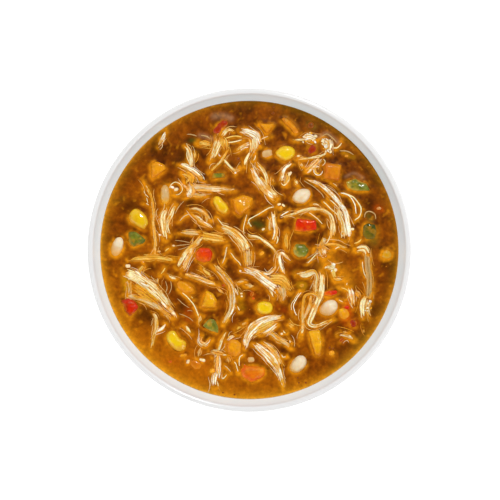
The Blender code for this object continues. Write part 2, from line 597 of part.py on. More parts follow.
def make_shred(name, strips, section, pockets, collection):
    """Join a tangle's strips and cut it clear of the vegetables it meets."""
    group = new_collection(name + "_strips")
    pieces = [strip_object(strip, SHRED_LIFT * index, section, group)
              for index, strip in enumerate(strips)]
    base = pieces[0]
    group.objects.unlink(base)
    bpy.context.scene.collection.objects.link(base)
    join = base.modifiers.new("join", "BOOLEAN")
    join.operation = "UNION"
    join.operand_type = "COLLECTION"
    join.collection = group
    clear = base.modifiers.new("clear", "BOOLEAN")
    clear.operation = "DIFFERENCE"
    clear.operand_type = "COLLECTION"
    clear.collection = pockets
    bpy.context.view_layer.update()
    shape = bmesh.new()
    shape.from_mesh(evaluated_mesh(base))
    for piece in pieces:
        bpy.data.objects.remove(piece, do_unlink=True)
    bpy.data.collections.remove(group)
    bmesh.ops.remove_doubles(shape, verts=shape.verts, dist=SLIVER)
    bmesh.ops.dissolve_degenerate(shape, dist=SLIVER, edges=shape.edges)
    largest_body(shape)
    return object_from(name, mesh_from(name, shape), collection, "chicken")


def main():
    """Build the bowl, the soup and everything in it."""
    clear_scene()
    food = new_collection("chicken_vegetable_soup")
    cutters = new_collection("pockets")
    make_bowl(food)
    for piece in ROUNDS:
        make_pocket(object_from(piece.name, round_mesh(piece), food, piece.kind), cutters)
    for piece in SLABS:
        make_pocket(object_from(piece.name, slab_mesh(piece), food, piece.kind), cutters)
    soup = object_from("soup", soup_body("soup"), food, "soup")
    cut = soup.modifiers.new("pockets", "BOOLEAN")
    cut.operation = "DIFFERENCE"
    cut.operand_type = "COLLECTION"
    cut.collection = cutters
    section = shred_section()
    for name, strips in SHREDS.items():
        make_shred(name, strips, section, cutters, food)
    bpy.data.objects.remove(section, do_unlink=True)


main()
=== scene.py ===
"""Looks of a bowl of chicken vegetable soup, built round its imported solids.

A glazed porcelain bowl holds an oily brown orange broth. Corn, beans, diced
carrot and cut pepper float in it, and cooked chicken lies on it in bundles of
fibres. Plan places are millimetres from the bowl's centre, +Y to the far side.
"""

import logging
import math
from dataclasses import dataclass
from enum import Enum

import bpy
import numpy as np
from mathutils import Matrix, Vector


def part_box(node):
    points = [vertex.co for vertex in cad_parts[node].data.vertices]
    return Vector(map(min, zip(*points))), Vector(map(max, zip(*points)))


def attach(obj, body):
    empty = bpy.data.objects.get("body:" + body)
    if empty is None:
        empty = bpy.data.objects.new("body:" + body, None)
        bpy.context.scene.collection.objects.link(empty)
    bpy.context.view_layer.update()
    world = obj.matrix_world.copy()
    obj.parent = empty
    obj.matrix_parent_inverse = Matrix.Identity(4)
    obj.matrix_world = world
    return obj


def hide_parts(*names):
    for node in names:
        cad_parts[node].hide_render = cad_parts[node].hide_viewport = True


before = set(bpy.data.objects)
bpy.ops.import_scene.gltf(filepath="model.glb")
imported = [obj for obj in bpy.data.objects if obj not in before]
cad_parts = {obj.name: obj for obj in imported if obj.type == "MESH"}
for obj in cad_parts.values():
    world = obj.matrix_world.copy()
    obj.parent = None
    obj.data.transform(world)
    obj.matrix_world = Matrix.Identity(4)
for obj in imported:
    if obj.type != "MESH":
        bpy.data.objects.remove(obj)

Array = np.ndarray
Plan = tuple[float, float]
# Places in plan, each written x,y and parted by spaces
Route = str
LOG = logging.getLogger("soup")
MM = 0.001
BODY = "root"
SEED = 4127
# Each kind of draw or noise starts its seeds at its own number
CUT_SEED = 40
BIT_SEED = 60
STRAND_SEED = 500
SAUCE_SEED = 900
WIDE_STRAND_SEED = 3000
TORN_SEED = 5000
GHOST_SEED = 7000
FIBRE_SEED = 9000
TINT = "tint"
# How far a lump's closing points stand out of its first and last ring, in mm
CAP_RISE = 0.01


class Hue(Enum):
    """Colours of the broth, vegetables and small bits, as sRGB hex."""

    WHITE = "#F3E8D2"
    CREAM = "#EBD5A8"
    GOLD = "#E39A1E"
    MAUVE = "#A67C58"
    SAUCE = "#D0800E"
    BROTH_DARK = "#4C2101"
    BROTH_MID = "#763602"
    BROTH_LIGHT = "#AC5E04"
    BROTH_WARM = "#965004"
    BROTH_HALO = "#DB8A0E"
    # A bright gold painted as light: it lifts shaded sides, waterlines and the broth's band at the wall
    PAINTED_LIGHT_GOLD = "#EFA31C"
    # The pale film line at the wall, brightened as a painted highlight
    RIM_FILM_HIGHLIGHT = "#E0AC50"
    CORN = "#DDB60A"
    CORN_DEEP = "#C68E06"
    BEAN = "#DCCBAA"
    BEAN_DEEP = "#C2A06A"
    CARROT = "#D48B08"
    CARROT_DEEP = "#BA6204"
    CARROT_PALE = "#DA9C0A"
    RED = "#C42502"
    RED_DEEP = "#962A02"
    ORANGE = "#CC4E05"
    GREEN = "#6A6C1C"
    GREEN_DEEP = "#434A10"
    GREEN_PALE = "#A89A42"
    PEPPERCORN = "#3A1C08"


class Meat(Enum):
    """Colours of chicken and onion, as the sRGB hex of a fibre and of a groove."""

    WHITE = ("#FCF3D4", "#DE9526")
    CREAM = ("#F4E2AC", "#D78A18")
    GOLD = ("#ECC062", "#CF7F0E")
    BEIGE = ("#DCBB88", "#B67522")
    MAUVE = ("#BE985F", "#8E581C")
    SOAKED = ("#E29A1A", "#BE6A08")

    def colours(self) -> list[Array]:
        """Give the fibre's and the groove's colour as linear values."""
        return [linear(text) for text in self.value]


def linear(text: str) -> Array:
    """Turn an sRGB hex colour to linear red, green and blue.

    Args:
        text: A colour such as "#F8EEDC".

    Returns:
        Three linear values.
    """
    parts = np.array([int(text[index:index + 2], 16) for index in (1, 3, 5)]) / 255
    return np.where(parts <= 0.04045, parts / 12.92, ((parts + 0.055) / 1.055) ** 2.4)


def shade_of(hue: Hue) -> Array:
    """Give a hue as linear red, green and blue."""
    return linear(hue.value)


def mix(low: Array, high: Array, share: Array) -> Array:
    """Blend two colours, or two rows of colours, by a share from 0 to 1."""
    share = np.clip(np.asarray(share, float), 0, 1)[..., None]
    return low * (1 - share) + high * share


def smooth_step(low: float, high: float, value: Array) -> Array:
    """Rise from 0 at low to 1 at high, as the cubic 3t^2 - 2t^3."""
    t = np.clip((value - low) / (high - low), 0, 1)
    return t * t * (3 - 2 * t)


def lattice(cells: Array, seed: int) -> Array:
    """Draw a fixed value from 0 to 1 for each whole-numbered cell.

    Args:
        cells: Whole numbers, one row of three for each cell.
        seed: Picks another set of values.

    Returns:
        One value for each row.
    """
    primes = np.array([374761393, 668265263, 2147483629], np.uint64)
    mask = np.uint64(0xFFFFFFFF)
    mixed = (cells.astype(np.int64).astype(np.uint64) * primes).sum(axis=-1)
    mixed = (mixed + np.uint64(seed * 974711)) & mask
    mixed = ((mixed ^ (mixed >> np.uint64(13))) * np.uint64(1274126177)) & mask
    mixed = ((mixed ^ (mixed >> np.uint64(15))) * np.uint64(2246822519)) & mask
    return (mixed ^ (mixed >> np.uint64(16))).astype(float) / 2 ** 32


def noise(points: Array, size: float, octaves: int = 3, seed: int = 0) -> Array:
    """Value noise: lattice values blended by the cubic step, halved in size each octave.

    Args:
        points: Two or three coordinates each, along the last axis.
        size: Length of the largest cells, in the points' unit.
        octaves: Number of layers, each at half the size and half the strength.
        seed: Picks another pattern.

    Returns:
        One value from about -1 to 1 for each point.
    """
    shape = points.shape[:-1]
    points = points.reshape(-1, points.shape[-1])
    if points.shape[1] == 2:
        points = np.column_stack([points, np.zeros(len(points))])
    total = np.zeros(len(points))
    reach = 0.0
    for octave in range(octaves):
        place = points * 2 ** octave / size + 1000.5
        cell = np.floor(place)
        part = place - cell
        part = part * part * (3 - 2 * part)
        value = np.zeros(len(points))
        for corner in np.ndindex(2, 2, 2):
            weight = np.prod(np.where(corner, part, 1 - part), axis=1)
            value += weight * lattice(cell + corner, seed + 31 * octave)
        total += (2 * value - 1) / 2 ** octave
        reach += 1 / 2 ** octave
    return (total / reach).reshape(shape)


def plan_of(route: Route) -> Array:
    """Read a route into rows of x and y."""
    return np.array([place.split(",") for place in route.split()], float)


def follow(route: Route, step: float) -> tuple[Array, Array]:
    """Sample a Catmull-Rom curve through a route at even steps of its length.

    Args:
        route: Two or more points in plan.
        step: Distance between samples, in the route's unit.

    Returns:
        The samples, and each one's share of the route by number of legs.
    """
    points = plan_of(route)
    ends = np.vstack([2 * points[0] - points[1], points, 2 * points[-1] - points[-2]])
    legs = len(points) - 1
    share = np.linspace(0, legs, legs * 24 + 1)
    index = np.minimum(share.astype(int), legs - 1)
    t = (share - index)[:, None]
    before, start, end, after = (ends[index + offset] for offset in range(4))
    line = 0.5 * (2 * start + (end - before) * t
                  + (2 * before - 5 * start + 4 * end - after) * t ** 2
                  + (3 * start - before - 3 * end + after) * t ** 3)
    along = np.concatenate([[0], np.cumsum(np.linalg.norm(np.diff(line, axis=0), axis=1))])
    even = np.linspace(0, along[-1], max(5, int(along[-1] / step) + 2))
    samples = np.column_stack([np.interp(even, along, line[:, axis]) for axis in (0, 1)])
    return samples, np.interp(even, along, share / legs)


@dataclass
class Skin:
    """A closed surface as arrays: points, four-sided and three-sided faces, and colours."""

    points: Array
    quads: Array
    triangles: Array
    tints: Array

    @staticmethod
    def over(rings: Array, start: Array, end: Array, tints: Array) -> "Skin":
        """Cover rings of points with faces, closed by a point at each end.

        Ring k is joined to ring k + 1 by one quad for each pair of neighbours
        round it. Rings run against the clock seen from the start point.

        Args:
            rings: Points by ring, place round the ring and axis.
            start: The point before the first ring.
            end: The point after the last ring.
            tints: Colours by ring, place and channel.

        Returns:
            The skin, with its faces outwards.
        """
        count, around, _ = rings.shape
        points = np.vstack([rings.reshape(-1, 3), start, end])
        colours = tints.reshape(-1, 3)
        colours = np.vstack([colours, tints[0].mean(axis=0), tints[-1].mean(axis=0)])
        here = np.arange(around)
        after = (here + 1) % around
        row = np.arange(count - 1)[:, None] * around
        quads = np.stack([row + here, row + around + here, row + around + after, row + after], axis=-1)
        first = np.full(around, count * around)
        last = (count - 1) * around
        cap = np.column_stack([first, here, after])
        tail = np.column_stack([first + 1, last + after, last + here])
        return Skin(points, quads.reshape(-1, 4), np.vstack([cap, tail]), colours)

    @staticmethod
    def lump(rings: Array, tints: Array) -> "Skin":
        """Cover rings that run from a lump's top down to its underside."""
        return Skin.over(rings, rings[0].mean(axis=0) + [0, 0, CAP_RISE],
                         rings[-1].mean(axis=0) - [0, 0, CAP_RISE], tints)

    @staticmethod
    def joined(skins: list["Skin"]) -> "Skin":
        """Stack skins into one, with their faces renumbered.

        Args:
            skins: The skins, in order.

        Returns:
            One skin.
        """
        starts = np.cumsum([0] + [len(skin.points) for skin in skins[:-1]])
        return Skin(
            np.vstack([skin.points for skin in skins]),
            np.vstack([skin.quads + start for skin, start in zip(skins, starts)]),
            np.vstack([skin.triangles + start for skin, start in zip(skins, starts)]),
            np.vstack([skin.tints for skin in skins]))

    def make(self, name: str, material: bpy.types.Material, slot: str, nodes: list[str]) -> int:
        """Put the skin, held in millimetres, into a mesh that rides on the body.

        Args:
            name: The piece's name.
            material: Its finish.
            slot: The record's material slot; not used.
            nodes: The solids that it stands for.

        Returns:
            The number of triangles.
        """
        mesh = bpy.data.meshes.new(name)
        corners = np.concatenate([self.quads.ravel(), self.triangles.ravel()])
        sizes = np.concatenate([np.full(len(self.quads), 4), np.full(len(self.triangles), 3)])
        mesh.vertices.add(len(self.points))
        mesh.loops.add(len(corners))
        mesh.polygons.add(len(sizes))
        mesh.vertices.foreach_set("co", (self.points * MM).astype(np.float32).ravel())
        mesh.loops.foreach_set("vertex_index", corners.astype(np.int32))
        starts = np.concatenate([[0], np.cumsum(sizes)[:-1]])
        mesh.polygons.foreach_set("loop_start", starts.astype(np.int32))
        layer = mesh.color_attributes.new(TINT, "FLOAT_COLOR", "POINT")
        rows = np.column_stack([self.tints, np.ones(len(self.tints))])
        layer.data.foreach_set("color", rows.astype(np.float32).ravel())
        mesh.update(calc_edges=True)
        mesh.validate()
        mesh.shade_smooth()
        mesh.materials.append(material)
        piece = bpy.data.objects.new(name, mesh)
        bpy.context.scene.collection.objects.link(piece)
        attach(piece, BODY)
        if nodes:
            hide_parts(*nodes)
        return 2 * len(self.quads) + len(self.triangles)


def tube(path: Array, half_width: Array, half_height: Array, sides: int) -> Array:
    """Carry an ellipse along a path.

    Each ring is path + across * half_width * cos(a) + up * half_height * sin(a),
    where across is level and up is square to it and to the path.

    Args:
        path: Points along the middle.
        half_width: Half the width at each point.
        half_height: Half the height at each point.
        sides: Points round a ring.

    Returns:
        Rings that Skin.over takes.
    """
    ahead = np.gradient(path, axis=0)
    ahead /= np.linalg.norm(ahead, axis=1)[:, None] + 1e-9
    across = np.cross([0, 0, 1.0], ahead)
    across /= np.linalg.norm(across, axis=1)[:, None] + 1e-9
    up = np.cross(ahead, across)
    angle = -math.tau * np.arange(sides) / sides
    return (path[:, None] + across[:, None] * (half_width[:, None] * np.cos(angle))[..., None]
            + up[:, None] * (half_height[:, None] * np.sin(angle))[..., None])


def turned(section: Array, angle: Array) -> Array:
    """Turn rows of radius and height about the bowl's axis into rings."""
    return np.stack([section[:, :1] * np.cos(angle), section[:, :1] * np.sin(angle),
                     np.repeat(section[:, 1:], len(angle), axis=1)], axis=-1)


def feed(tree: bpy.types.NodeTree, node: bpy.types.Node, inputs: dict) -> None:
    """Link output sockets to a node's inputs and set its other inputs to values.

    Args:
        tree: The node tree.
        node: The node.
        inputs: Values or output sockets, by the input's name or number.
    """
    for name, value in inputs.items():
        if isinstance(value, bpy.types.NodeSocket):
            tree.links.new(value, node.inputs[name])
        else:
            node.inputs[name].default_value = value


def add_node(tree: bpy.types.NodeTree, kind: str, inputs: dict | None = None, **settings) -> bpy.types.Node:
    """Add a node with its settings and links.

    Args:
        tree: The material's or world's node tree.
        kind: The node's type.
        inputs: Values or output sockets for its inputs, by name or number.
        settings: Values for the node's own properties.

    Returns:
        The node.
    """
    node = tree.nodes.new(kind)
    for name, value in settings.items():
        setattr(node, name, value)
    feed(tree, node, inputs or {})
    return node


class FinishNodes:
    """A new material's nodes, with its object coordinates and the tint of its points."""

    def __init__(self, name: str) -> None:
        """Start a material of this name.

        Args:
            name: The material's name.
        """
        self.material = bpy.data.materials.new(name)
        self.material.use_nodes = True
        self.tree = self.material.node_tree
        self.place = add_node(self.tree, "ShaderNodeTexCoord").outputs["Object"]
        self.tint = add_node(self.tree, "ShaderNodeVertexColor", layer_name=TINT).outputs["Color"]

    def cloud(self, size_mm: float, **inputs: float) -> bpy.types.NodeSocket:
        """Give cloudy noise, with its cells' size in mm and the noise node's own inputs.

        Args:
            size_mm: Size of the largest cells.
            inputs: Values for the noise node's other inputs.

        Returns:
            The noise, from 0 to 1.
        """
        node = add_node(self.tree, "ShaderNodeTexNoise",
                        {"Vector": self.place, "Scale": 1 / (size_mm * MM), **inputs})
        return node.outputs["Fac"]

    def finish(self, relief: bpy.types.NodeSocket, height_mm: float, inputs: dict) -> bpy.types.Material:
        """Raise the surface by a relief and feed the shader.

        Args:
            relief: The relief's noise.
            height_mm: The relief's height.
            inputs: Values or sockets for the shader's inputs.

        Returns:
            The finished material.
        """
        bump = add_node(self.tree, "ShaderNodeBump", {
            "Height": relief, "Strength": 1.0, "Distance": height_mm * MM})
        feed(self.tree, self.tree.nodes["Principled BSDF"], {"Normal": bump.outputs["Normal"], **inputs})
        return self.material


@dataclass(frozen=True)
class WetFinish:
    """A wet food surface: its tint, cloudy grain, fine relief and a film of oil.

    Attributes:
        name: The material's name.
        roughness: Roughness under the film.
        film: Weight of the oily film.
        film_roughness: Roughness of the film.
        ior: Index of refraction of the surface.
        specular: Specular level of the surface.
        grain_mm: Size of the cloudy grain.
        grain_strength: How far the grain lightens and darkens the tint.
        relief_mm: Size of the fine relief.
        relief_height_mm: Depth of the fine relief.
        scatter: Weight of light that travels under the surface.
        scatter_mm: How far that light travels.
        scatter_by_channel: How far red, green and blue travel, as shares of it.
    """

    name: str
    roughness: float
    film: float
    film_roughness: float
    ior: float
    specular: float
    grain_mm: float
    grain_strength: float
    relief_mm: float
    relief_height_mm: float
    scatter: float = 0.0
    scatter_mm: float = 1.0
    scatter_by_channel: tuple[float, float, float] = (1.0, 0.6, 0.25)

    def make(self) -> bpy.types.Material:
        """Build the material's nodes on object coordinates, in metres.

        Returns:
            The material.
        """
        nodes = FinishNodes(self.name)
        grain = nodes.cloud(self.grain_mm, Detail=4.0, Roughness=0.6)
        level = add_node(nodes.tree, "ShaderNodeMapRange", {
            "Value": grain, "From Min": 0.25, "From Max": 0.75,
            "To Min": 1 - self.grain_strength, "To Max": 1 + self.grain_strength})
        colour = add_node(nodes.tree, "ShaderNodeVectorMath", {
            "Vector": nodes.tint, "Scale": level.outputs["Result"]}, operation="SCALE")
        return nodes.finish(nodes.cloud(self.relief_mm, Detail=3.0), self.relief_height_mm, {
            "Base Color": colour.outputs["Vector"], "Roughness": self.roughness, "IOR": self.ior,
            "Specular IOR Level": self.specular, "Coat Weight": self.film,
            "Coat Roughness": self.film_roughness, "Subsurface Weight": self.scatter,
            "Subsurface Scale": self.scatter_mm * MM, "Subsurface Radius": self.scatter_by_channel})


@dataclass(frozen=True)
class PorcelainFinish:
    """Glazed porcelain: a hard clear glaze over a white fired body, faintly uneven."""

    name: str = "glazed_porcelain"
    body: str = "#FEFEFE"
    shade: str = "#FAFBFC"
    roughness: float = 0.16
    glaze_ior: float = 1.5
    cloud_mm: float = 24.0
    orange_peel_mm: float = 7.0
    orange_peel_height_mm: float = 0.012

    def make(self) -> bpy.types.Material:
        """Build the porcelain's nodes.

        Returns:
            The material.
        """
        nodes = FinishNodes(self.name)
        body = add_node(nodes.tree, "ShaderNodeMix", {
            0: nodes.cloud(self.cloud_mm, Detail=2.0), 6: (*linear(self.body), 1),
            7: (*linear(self.shade), 1)}, data_type="RGBA")
        colour = add_node(nodes.tree, "ShaderNodeVectorMath", {
            0: body.outputs[2], 1: nodes.tint}, operation="MULTIPLY")
        peel = nodes.cloud(self.orange_peel_mm, Detail=1.0)
        return nodes.finish(peel, self.orange_peel_height_mm, {
            "Base Color": colour.outputs["Vector"], "Roughness": self.roughness, "IOR": self.glaze_ior})


# Broth: turbid stock with oil on top, so a smooth skin over cloudy brown orange
BROTH = WetFinish("oily_broth", 0.3, 0.1, 0.1, 1.34, 0.1, 1.7, 0.28, 0.8, 0.07)
# Sweetcorn: a taut waxy skin with soft yolk-like flesh that glows a little
CORN = WetFinish("sweetcorn_skin", 0.3, 0.6, 0.08, 1.4, 0.15, 3.0, 0.05, 2.0, 0.03, 0.25, 1.2)
# Boiled white bean: a smooth thin skin over chalky flesh
BEAN = WetFinish("boiled_bean_skin", 0.4, 0.2, 0.16, 1.4, 0.3, 3.0, 0.04, 2.4, 0.03, 0.3, 1.5)
# Boiled carrot: cut faces with a soft fibrous grain under liquid
CARROT = WetFinish("boiled_carrot", 0.38, 0.22, 0.09, 1.4, 0.12, 1.8, 0.14, 0.9, 0.09, 0.2, 1.0)
# Cooked pepper: a glossy skin on watery flesh
PEPPER = WetFinish("cooked_pepper", 0.3, 0.22, 0.06, 1.4, 0.1, 1.6, 0.22, 1.2, 0.09, 0.1, 0.8)
# Cooked chicken breast: dry pale muscle fibres wetted by oily sauce
CHICKEN = WetFinish("shredded_chicken", 0.45, 0.1, 0.12, 1.4, 0.12, 0.9, 0.12, 0.5, 0.06, 0.35, 1.2)
# Soaked strands and onion: thin, glassy and stained by the broth
SOAKED = WetFinish("soaked_strands", 0.3, 0.2, 0.1, 1.36, 0.15, 1.4, 0.12, 0.6, 0.04)


@dataclass
class GlazedBowl:
    """The turned bowl: a rounded lip, a curved wall, a foot ring and a recess under it."""

    rim_radius: float
    rim_height: float
    lip: float = 3.0
    floor_height: float = 8.5
    floor_radius: float = 30.2
    wall_end_deg: float = 68.0
    outer_start_deg: float = 12.0
    base: float = 4.2
    foot_outer: float = 40.0
    foot_inner: float = 34.0
    foot_height: float = 5.0
    foot_recess: float = 2.6
    foot_edge: float = 0.7
    lip_start_deg: float = 158.0
    last_inner_row: int = 58
    around: int = 288
    # The inside is tinted cool against the broth's warm bounce light, and the lip and the outside are
    # greyed as painted shade
    lip_painted_shade: str = "#DAD9D8"
    inner_tint_against_bounce: str = "#EFFBFF"
    outer_painted_shade: str = "#E0E0DF"

    def wall(self, angle_deg: Array, offset: Array | float) -> Array:
        """Give radius and height on the inner wall, moved outwards.

        The wall is an arc of an ellipse: the radius is the floor's plus
        reach * sin(angle) and the height is the floor's plus
        climb * (1 - cos(angle)), which ends under the lip.

        Args:
            angle_deg: Angles along the arc.
            offset: Distance outwards, square to the wall.

        Returns:
            Rows of radius and height.
        """
        end = math.radians(self.wall_end_deg)
        reach = (self.rim_radius - self.lip - self.floor_radius) / math.sin(end)
        climb = (self.rim_height - self.lip / 2 - self.floor_height) / (1 - math.cos(end))
        angle = np.radians(angle_deg)
        line = np.column_stack([self.floor_radius + reach * np.sin(angle),
                                self.floor_height + climb * (1 - np.cos(angle))])
        outward = np.column_stack([climb * np.sin(angle), -reach * np.cos(angle)])
        outward /= np.linalg.norm(outward, axis=1)[:, None]
        return line + outward * np.reshape(offset, (-1, 1))

    def radius_at(self, height: float) -> float:
        """Give the inner wall's radius at a height."""
        line = self.wall(np.linspace(0, self.wall_end_deg, 400), 0.0)
        return float(np.interp(height, line[:, 1], line[:, 0]))

    @staticmethod
    def fillet(centre: Plan, radius: float, start_deg: float, end_deg: float, steps: int) -> Array:
        """Give points on an arc in section, from one angle to another.

        Args:
            centre: The arc's centre, as radius and height.
            radius: Its radius.
            start_deg: Angle of its first point.
            end_deg: Angle of its last.
            steps: Number of points.

        Returns:
            Rows of radius and height.
        """
        angle = np.radians(np.linspace(start_deg, end_deg, steps))
        return np.column_stack([centre[0] + radius * np.cos(angle),
                                centre[1] + radius * np.sin(angle)])

    def section(self) -> Array:
        """List radius and height from the floor's middle, over the lip, to the recess.

        Returns:
            Rows of radius and height.
        """
        floor = np.column_stack([np.linspace(4, self.floor_radius, 12)[:-1],
                                 np.full(11, self.floor_height)])
        inner = self.wall(np.linspace(0, self.wall_end_deg, 40), 0.0)[:-1]
        half = self.lip / 2
        lip = self.fillet((self.rim_radius - half, self.rim_height - half), half,
                          self.lip_start_deg, 0, 15)
        share = np.linspace(1, 0, 40)[1:]
        thickness = self.base + (self.lip - self.base) * share
        span = self.wall_end_deg - self.outer_start_deg
        outer = self.wall(self.outer_start_deg + span * share, thickness)
        outer = outer[outer[:, 1] > self.foot_height + 0.6]
        edge = self.foot_edge
        neck = self.fillet((self.foot_outer + 0.8, self.foot_height + 0.4), 0.8, 90, 180, 5)
        toe = self.fillet((self.foot_outer - edge, edge), edge, 0, -90, 6)
        heel = self.fillet((self.foot_inner + edge, edge), edge, -90, -180, 6)
        recess = np.column_stack([np.linspace(self.foot_inner - edge, 4, 8),
                                  np.full(8, self.foot_recess)])
        return np.vstack([floor, inner, lip, outer, neck, toe, heel, recess])

    def build(self) -> int:
        """Turn the section about the bowl's axis and glaze it, greyer on the lip and outside as painted
        shade.

        Returns:
            The number of triangles.
        """
        section = self.section()
        angle = math.tau * np.arange(self.around) / self.around
        start = np.array([0, 0, section[0, 1]])
        end = np.array([0, 0, section[-1, 1]])
        # Grey the lip and the outside as painted shade over the inside's cool tint; thin is the lip's share
        # of that grey
        thin = smooth_step(self.rim_height - 1.6, self.rim_height - 0.6, section[:, 1])
        outside = smooth_step(0, 1, np.arange(len(section)) - self.last_inner_row)
        tone = mix(linear(self.inner_tint_against_bounce), linear(self.outer_painted_shade), outside)
        tone = mix(tone, linear(self.lip_painted_shade), thin)
        skin = Skin.over(turned(section, angle), start, end, np.repeat(tone[:, None], self.around, axis=1))
        return skin.make("glazed_bowl", PorcelainFinish().make(), "porcelain", ["bowl"])


@dataclass
class Chart:
    """A map of the broth in plan: values on a square grid, read between its points."""

    half: float = 84.0
    cell: float = 0.4

    def __post_init__(self) -> None:
        """Lay out the grid's axis."""
        self.axis = np.arange(-self.half, self.half + self.cell, self.cell)

    def blank(self, value: float) -> Array:
        """Give a grid filled with one value."""
        return np.full((len(self.axis), len(self.axis)), float(value))

    def window(self, x: float, y: float, reach: float) -> tuple[slice, slice, Array]:
        """Give the part of the grid round a place, and each point's distance to it.

        Args:
            x: The place's x.
            y: The place's y.
            reach: Half the side of the square part.

        Returns:
            Rows, columns and distances of that part.
        """
        spans = []
        for place in (x, y):
            low = int(np.clip((place - reach + self.half) / self.cell, 0, len(self.axis) - 1))
            high = int(np.clip((place + reach + self.half) / self.cell + 2, 1, len(self.axis)))
            spans.append(slice(low, high))
        far = np.hypot(self.axis[spans[0]][:, None] - x, self.axis[spans[1]][None] - y)
        return spans[0], spans[1], far

    def distances(self, discs: Array, most: float) -> Array:
        """Give the distance to the nearest disc, below 0 inside one, up to a limit.

        Args:
            discs: Rows of x, y and radius.
            most: The limit.

        Returns:
            The distances on the grid.
        """
        grid = self.blank(most)
        for x, y, radius in discs:
            rows, columns, far = self.window(x, y, radius + most)
            grid[rows, columns] = np.minimum(grid[rows, columns], far - radius)
        return grid

    def stroke(self, route: Route, width: float) -> Array:
        """Give a soft brush stroke: exp(-(d / half width)^2) of the distance to its route.

        Args:
            route: The stroke's route.
            width: Its width.

        Returns:
            The stroke's strength on the grid, from 0 to 1.
        """
        path, _ = follow(route, self.cell)
        grid = self.blank(0)
        for x, y in path:
            rows, columns, far = self.window(x, y, 1.3 * width)
            grid[rows, columns] = np.maximum(grid[rows, columns], np.exp(-(2 * far / width) ** 2))
        return grid

    def read(self, grid: Array, plan: Array) -> Array:
        """Read a grid at places in plan, as the blend of its four nearest points.

        Args:
            grid: Values on the grid.
            plan: Rows of x and y.

        Returns:
            One value for each row.
        """
        place = np.clip((plan + self.half) / self.cell, 0, len(self.axis) - 1.001)
        low = place.astype(int)
        part = place - low
        total = np.zeros(len(plan))
        for corner in np.ndindex(2, 2):
            weight = np.prod(np.where(corner, part, 1 - part), axis=1)
            total += weight * grid[low[:, 0] + corner[0], low[:, 1] + corner[1]]
        return total


@dataclass(frozen=True)
class Cut:
    """A vegetable piece: its outline, height and, where they aren't its kind's, its colours.

    Attributes:
        outline: Corners in plan.
        thickness: From its top face to its underside.
        rise: Height of its top above the broth.
        tilt: Degrees about X and Y.
        patch: How much of the top the side's colour covers, from -1 to 1.
        top: Colour of its top.
        side: Colour of its edges and patches.
    """

    outline: Route
    thickness: float
    rise: float
    tilt: Plan = (0, 0)
    patch: float = 0.0
    top: Hue | None = None
    side: Hue | None = None


@dataclass(frozen=True)
class Kind:
    """How a kind looks: finish, slot, colours, corners, roundness, dents, flecks and sauce."""

    finish: WetFinish
    slot: str
    top: Hue
    side: Hue
    corner: float
    boxiness: float
    relief: float
    mottle: float
    glaze: float


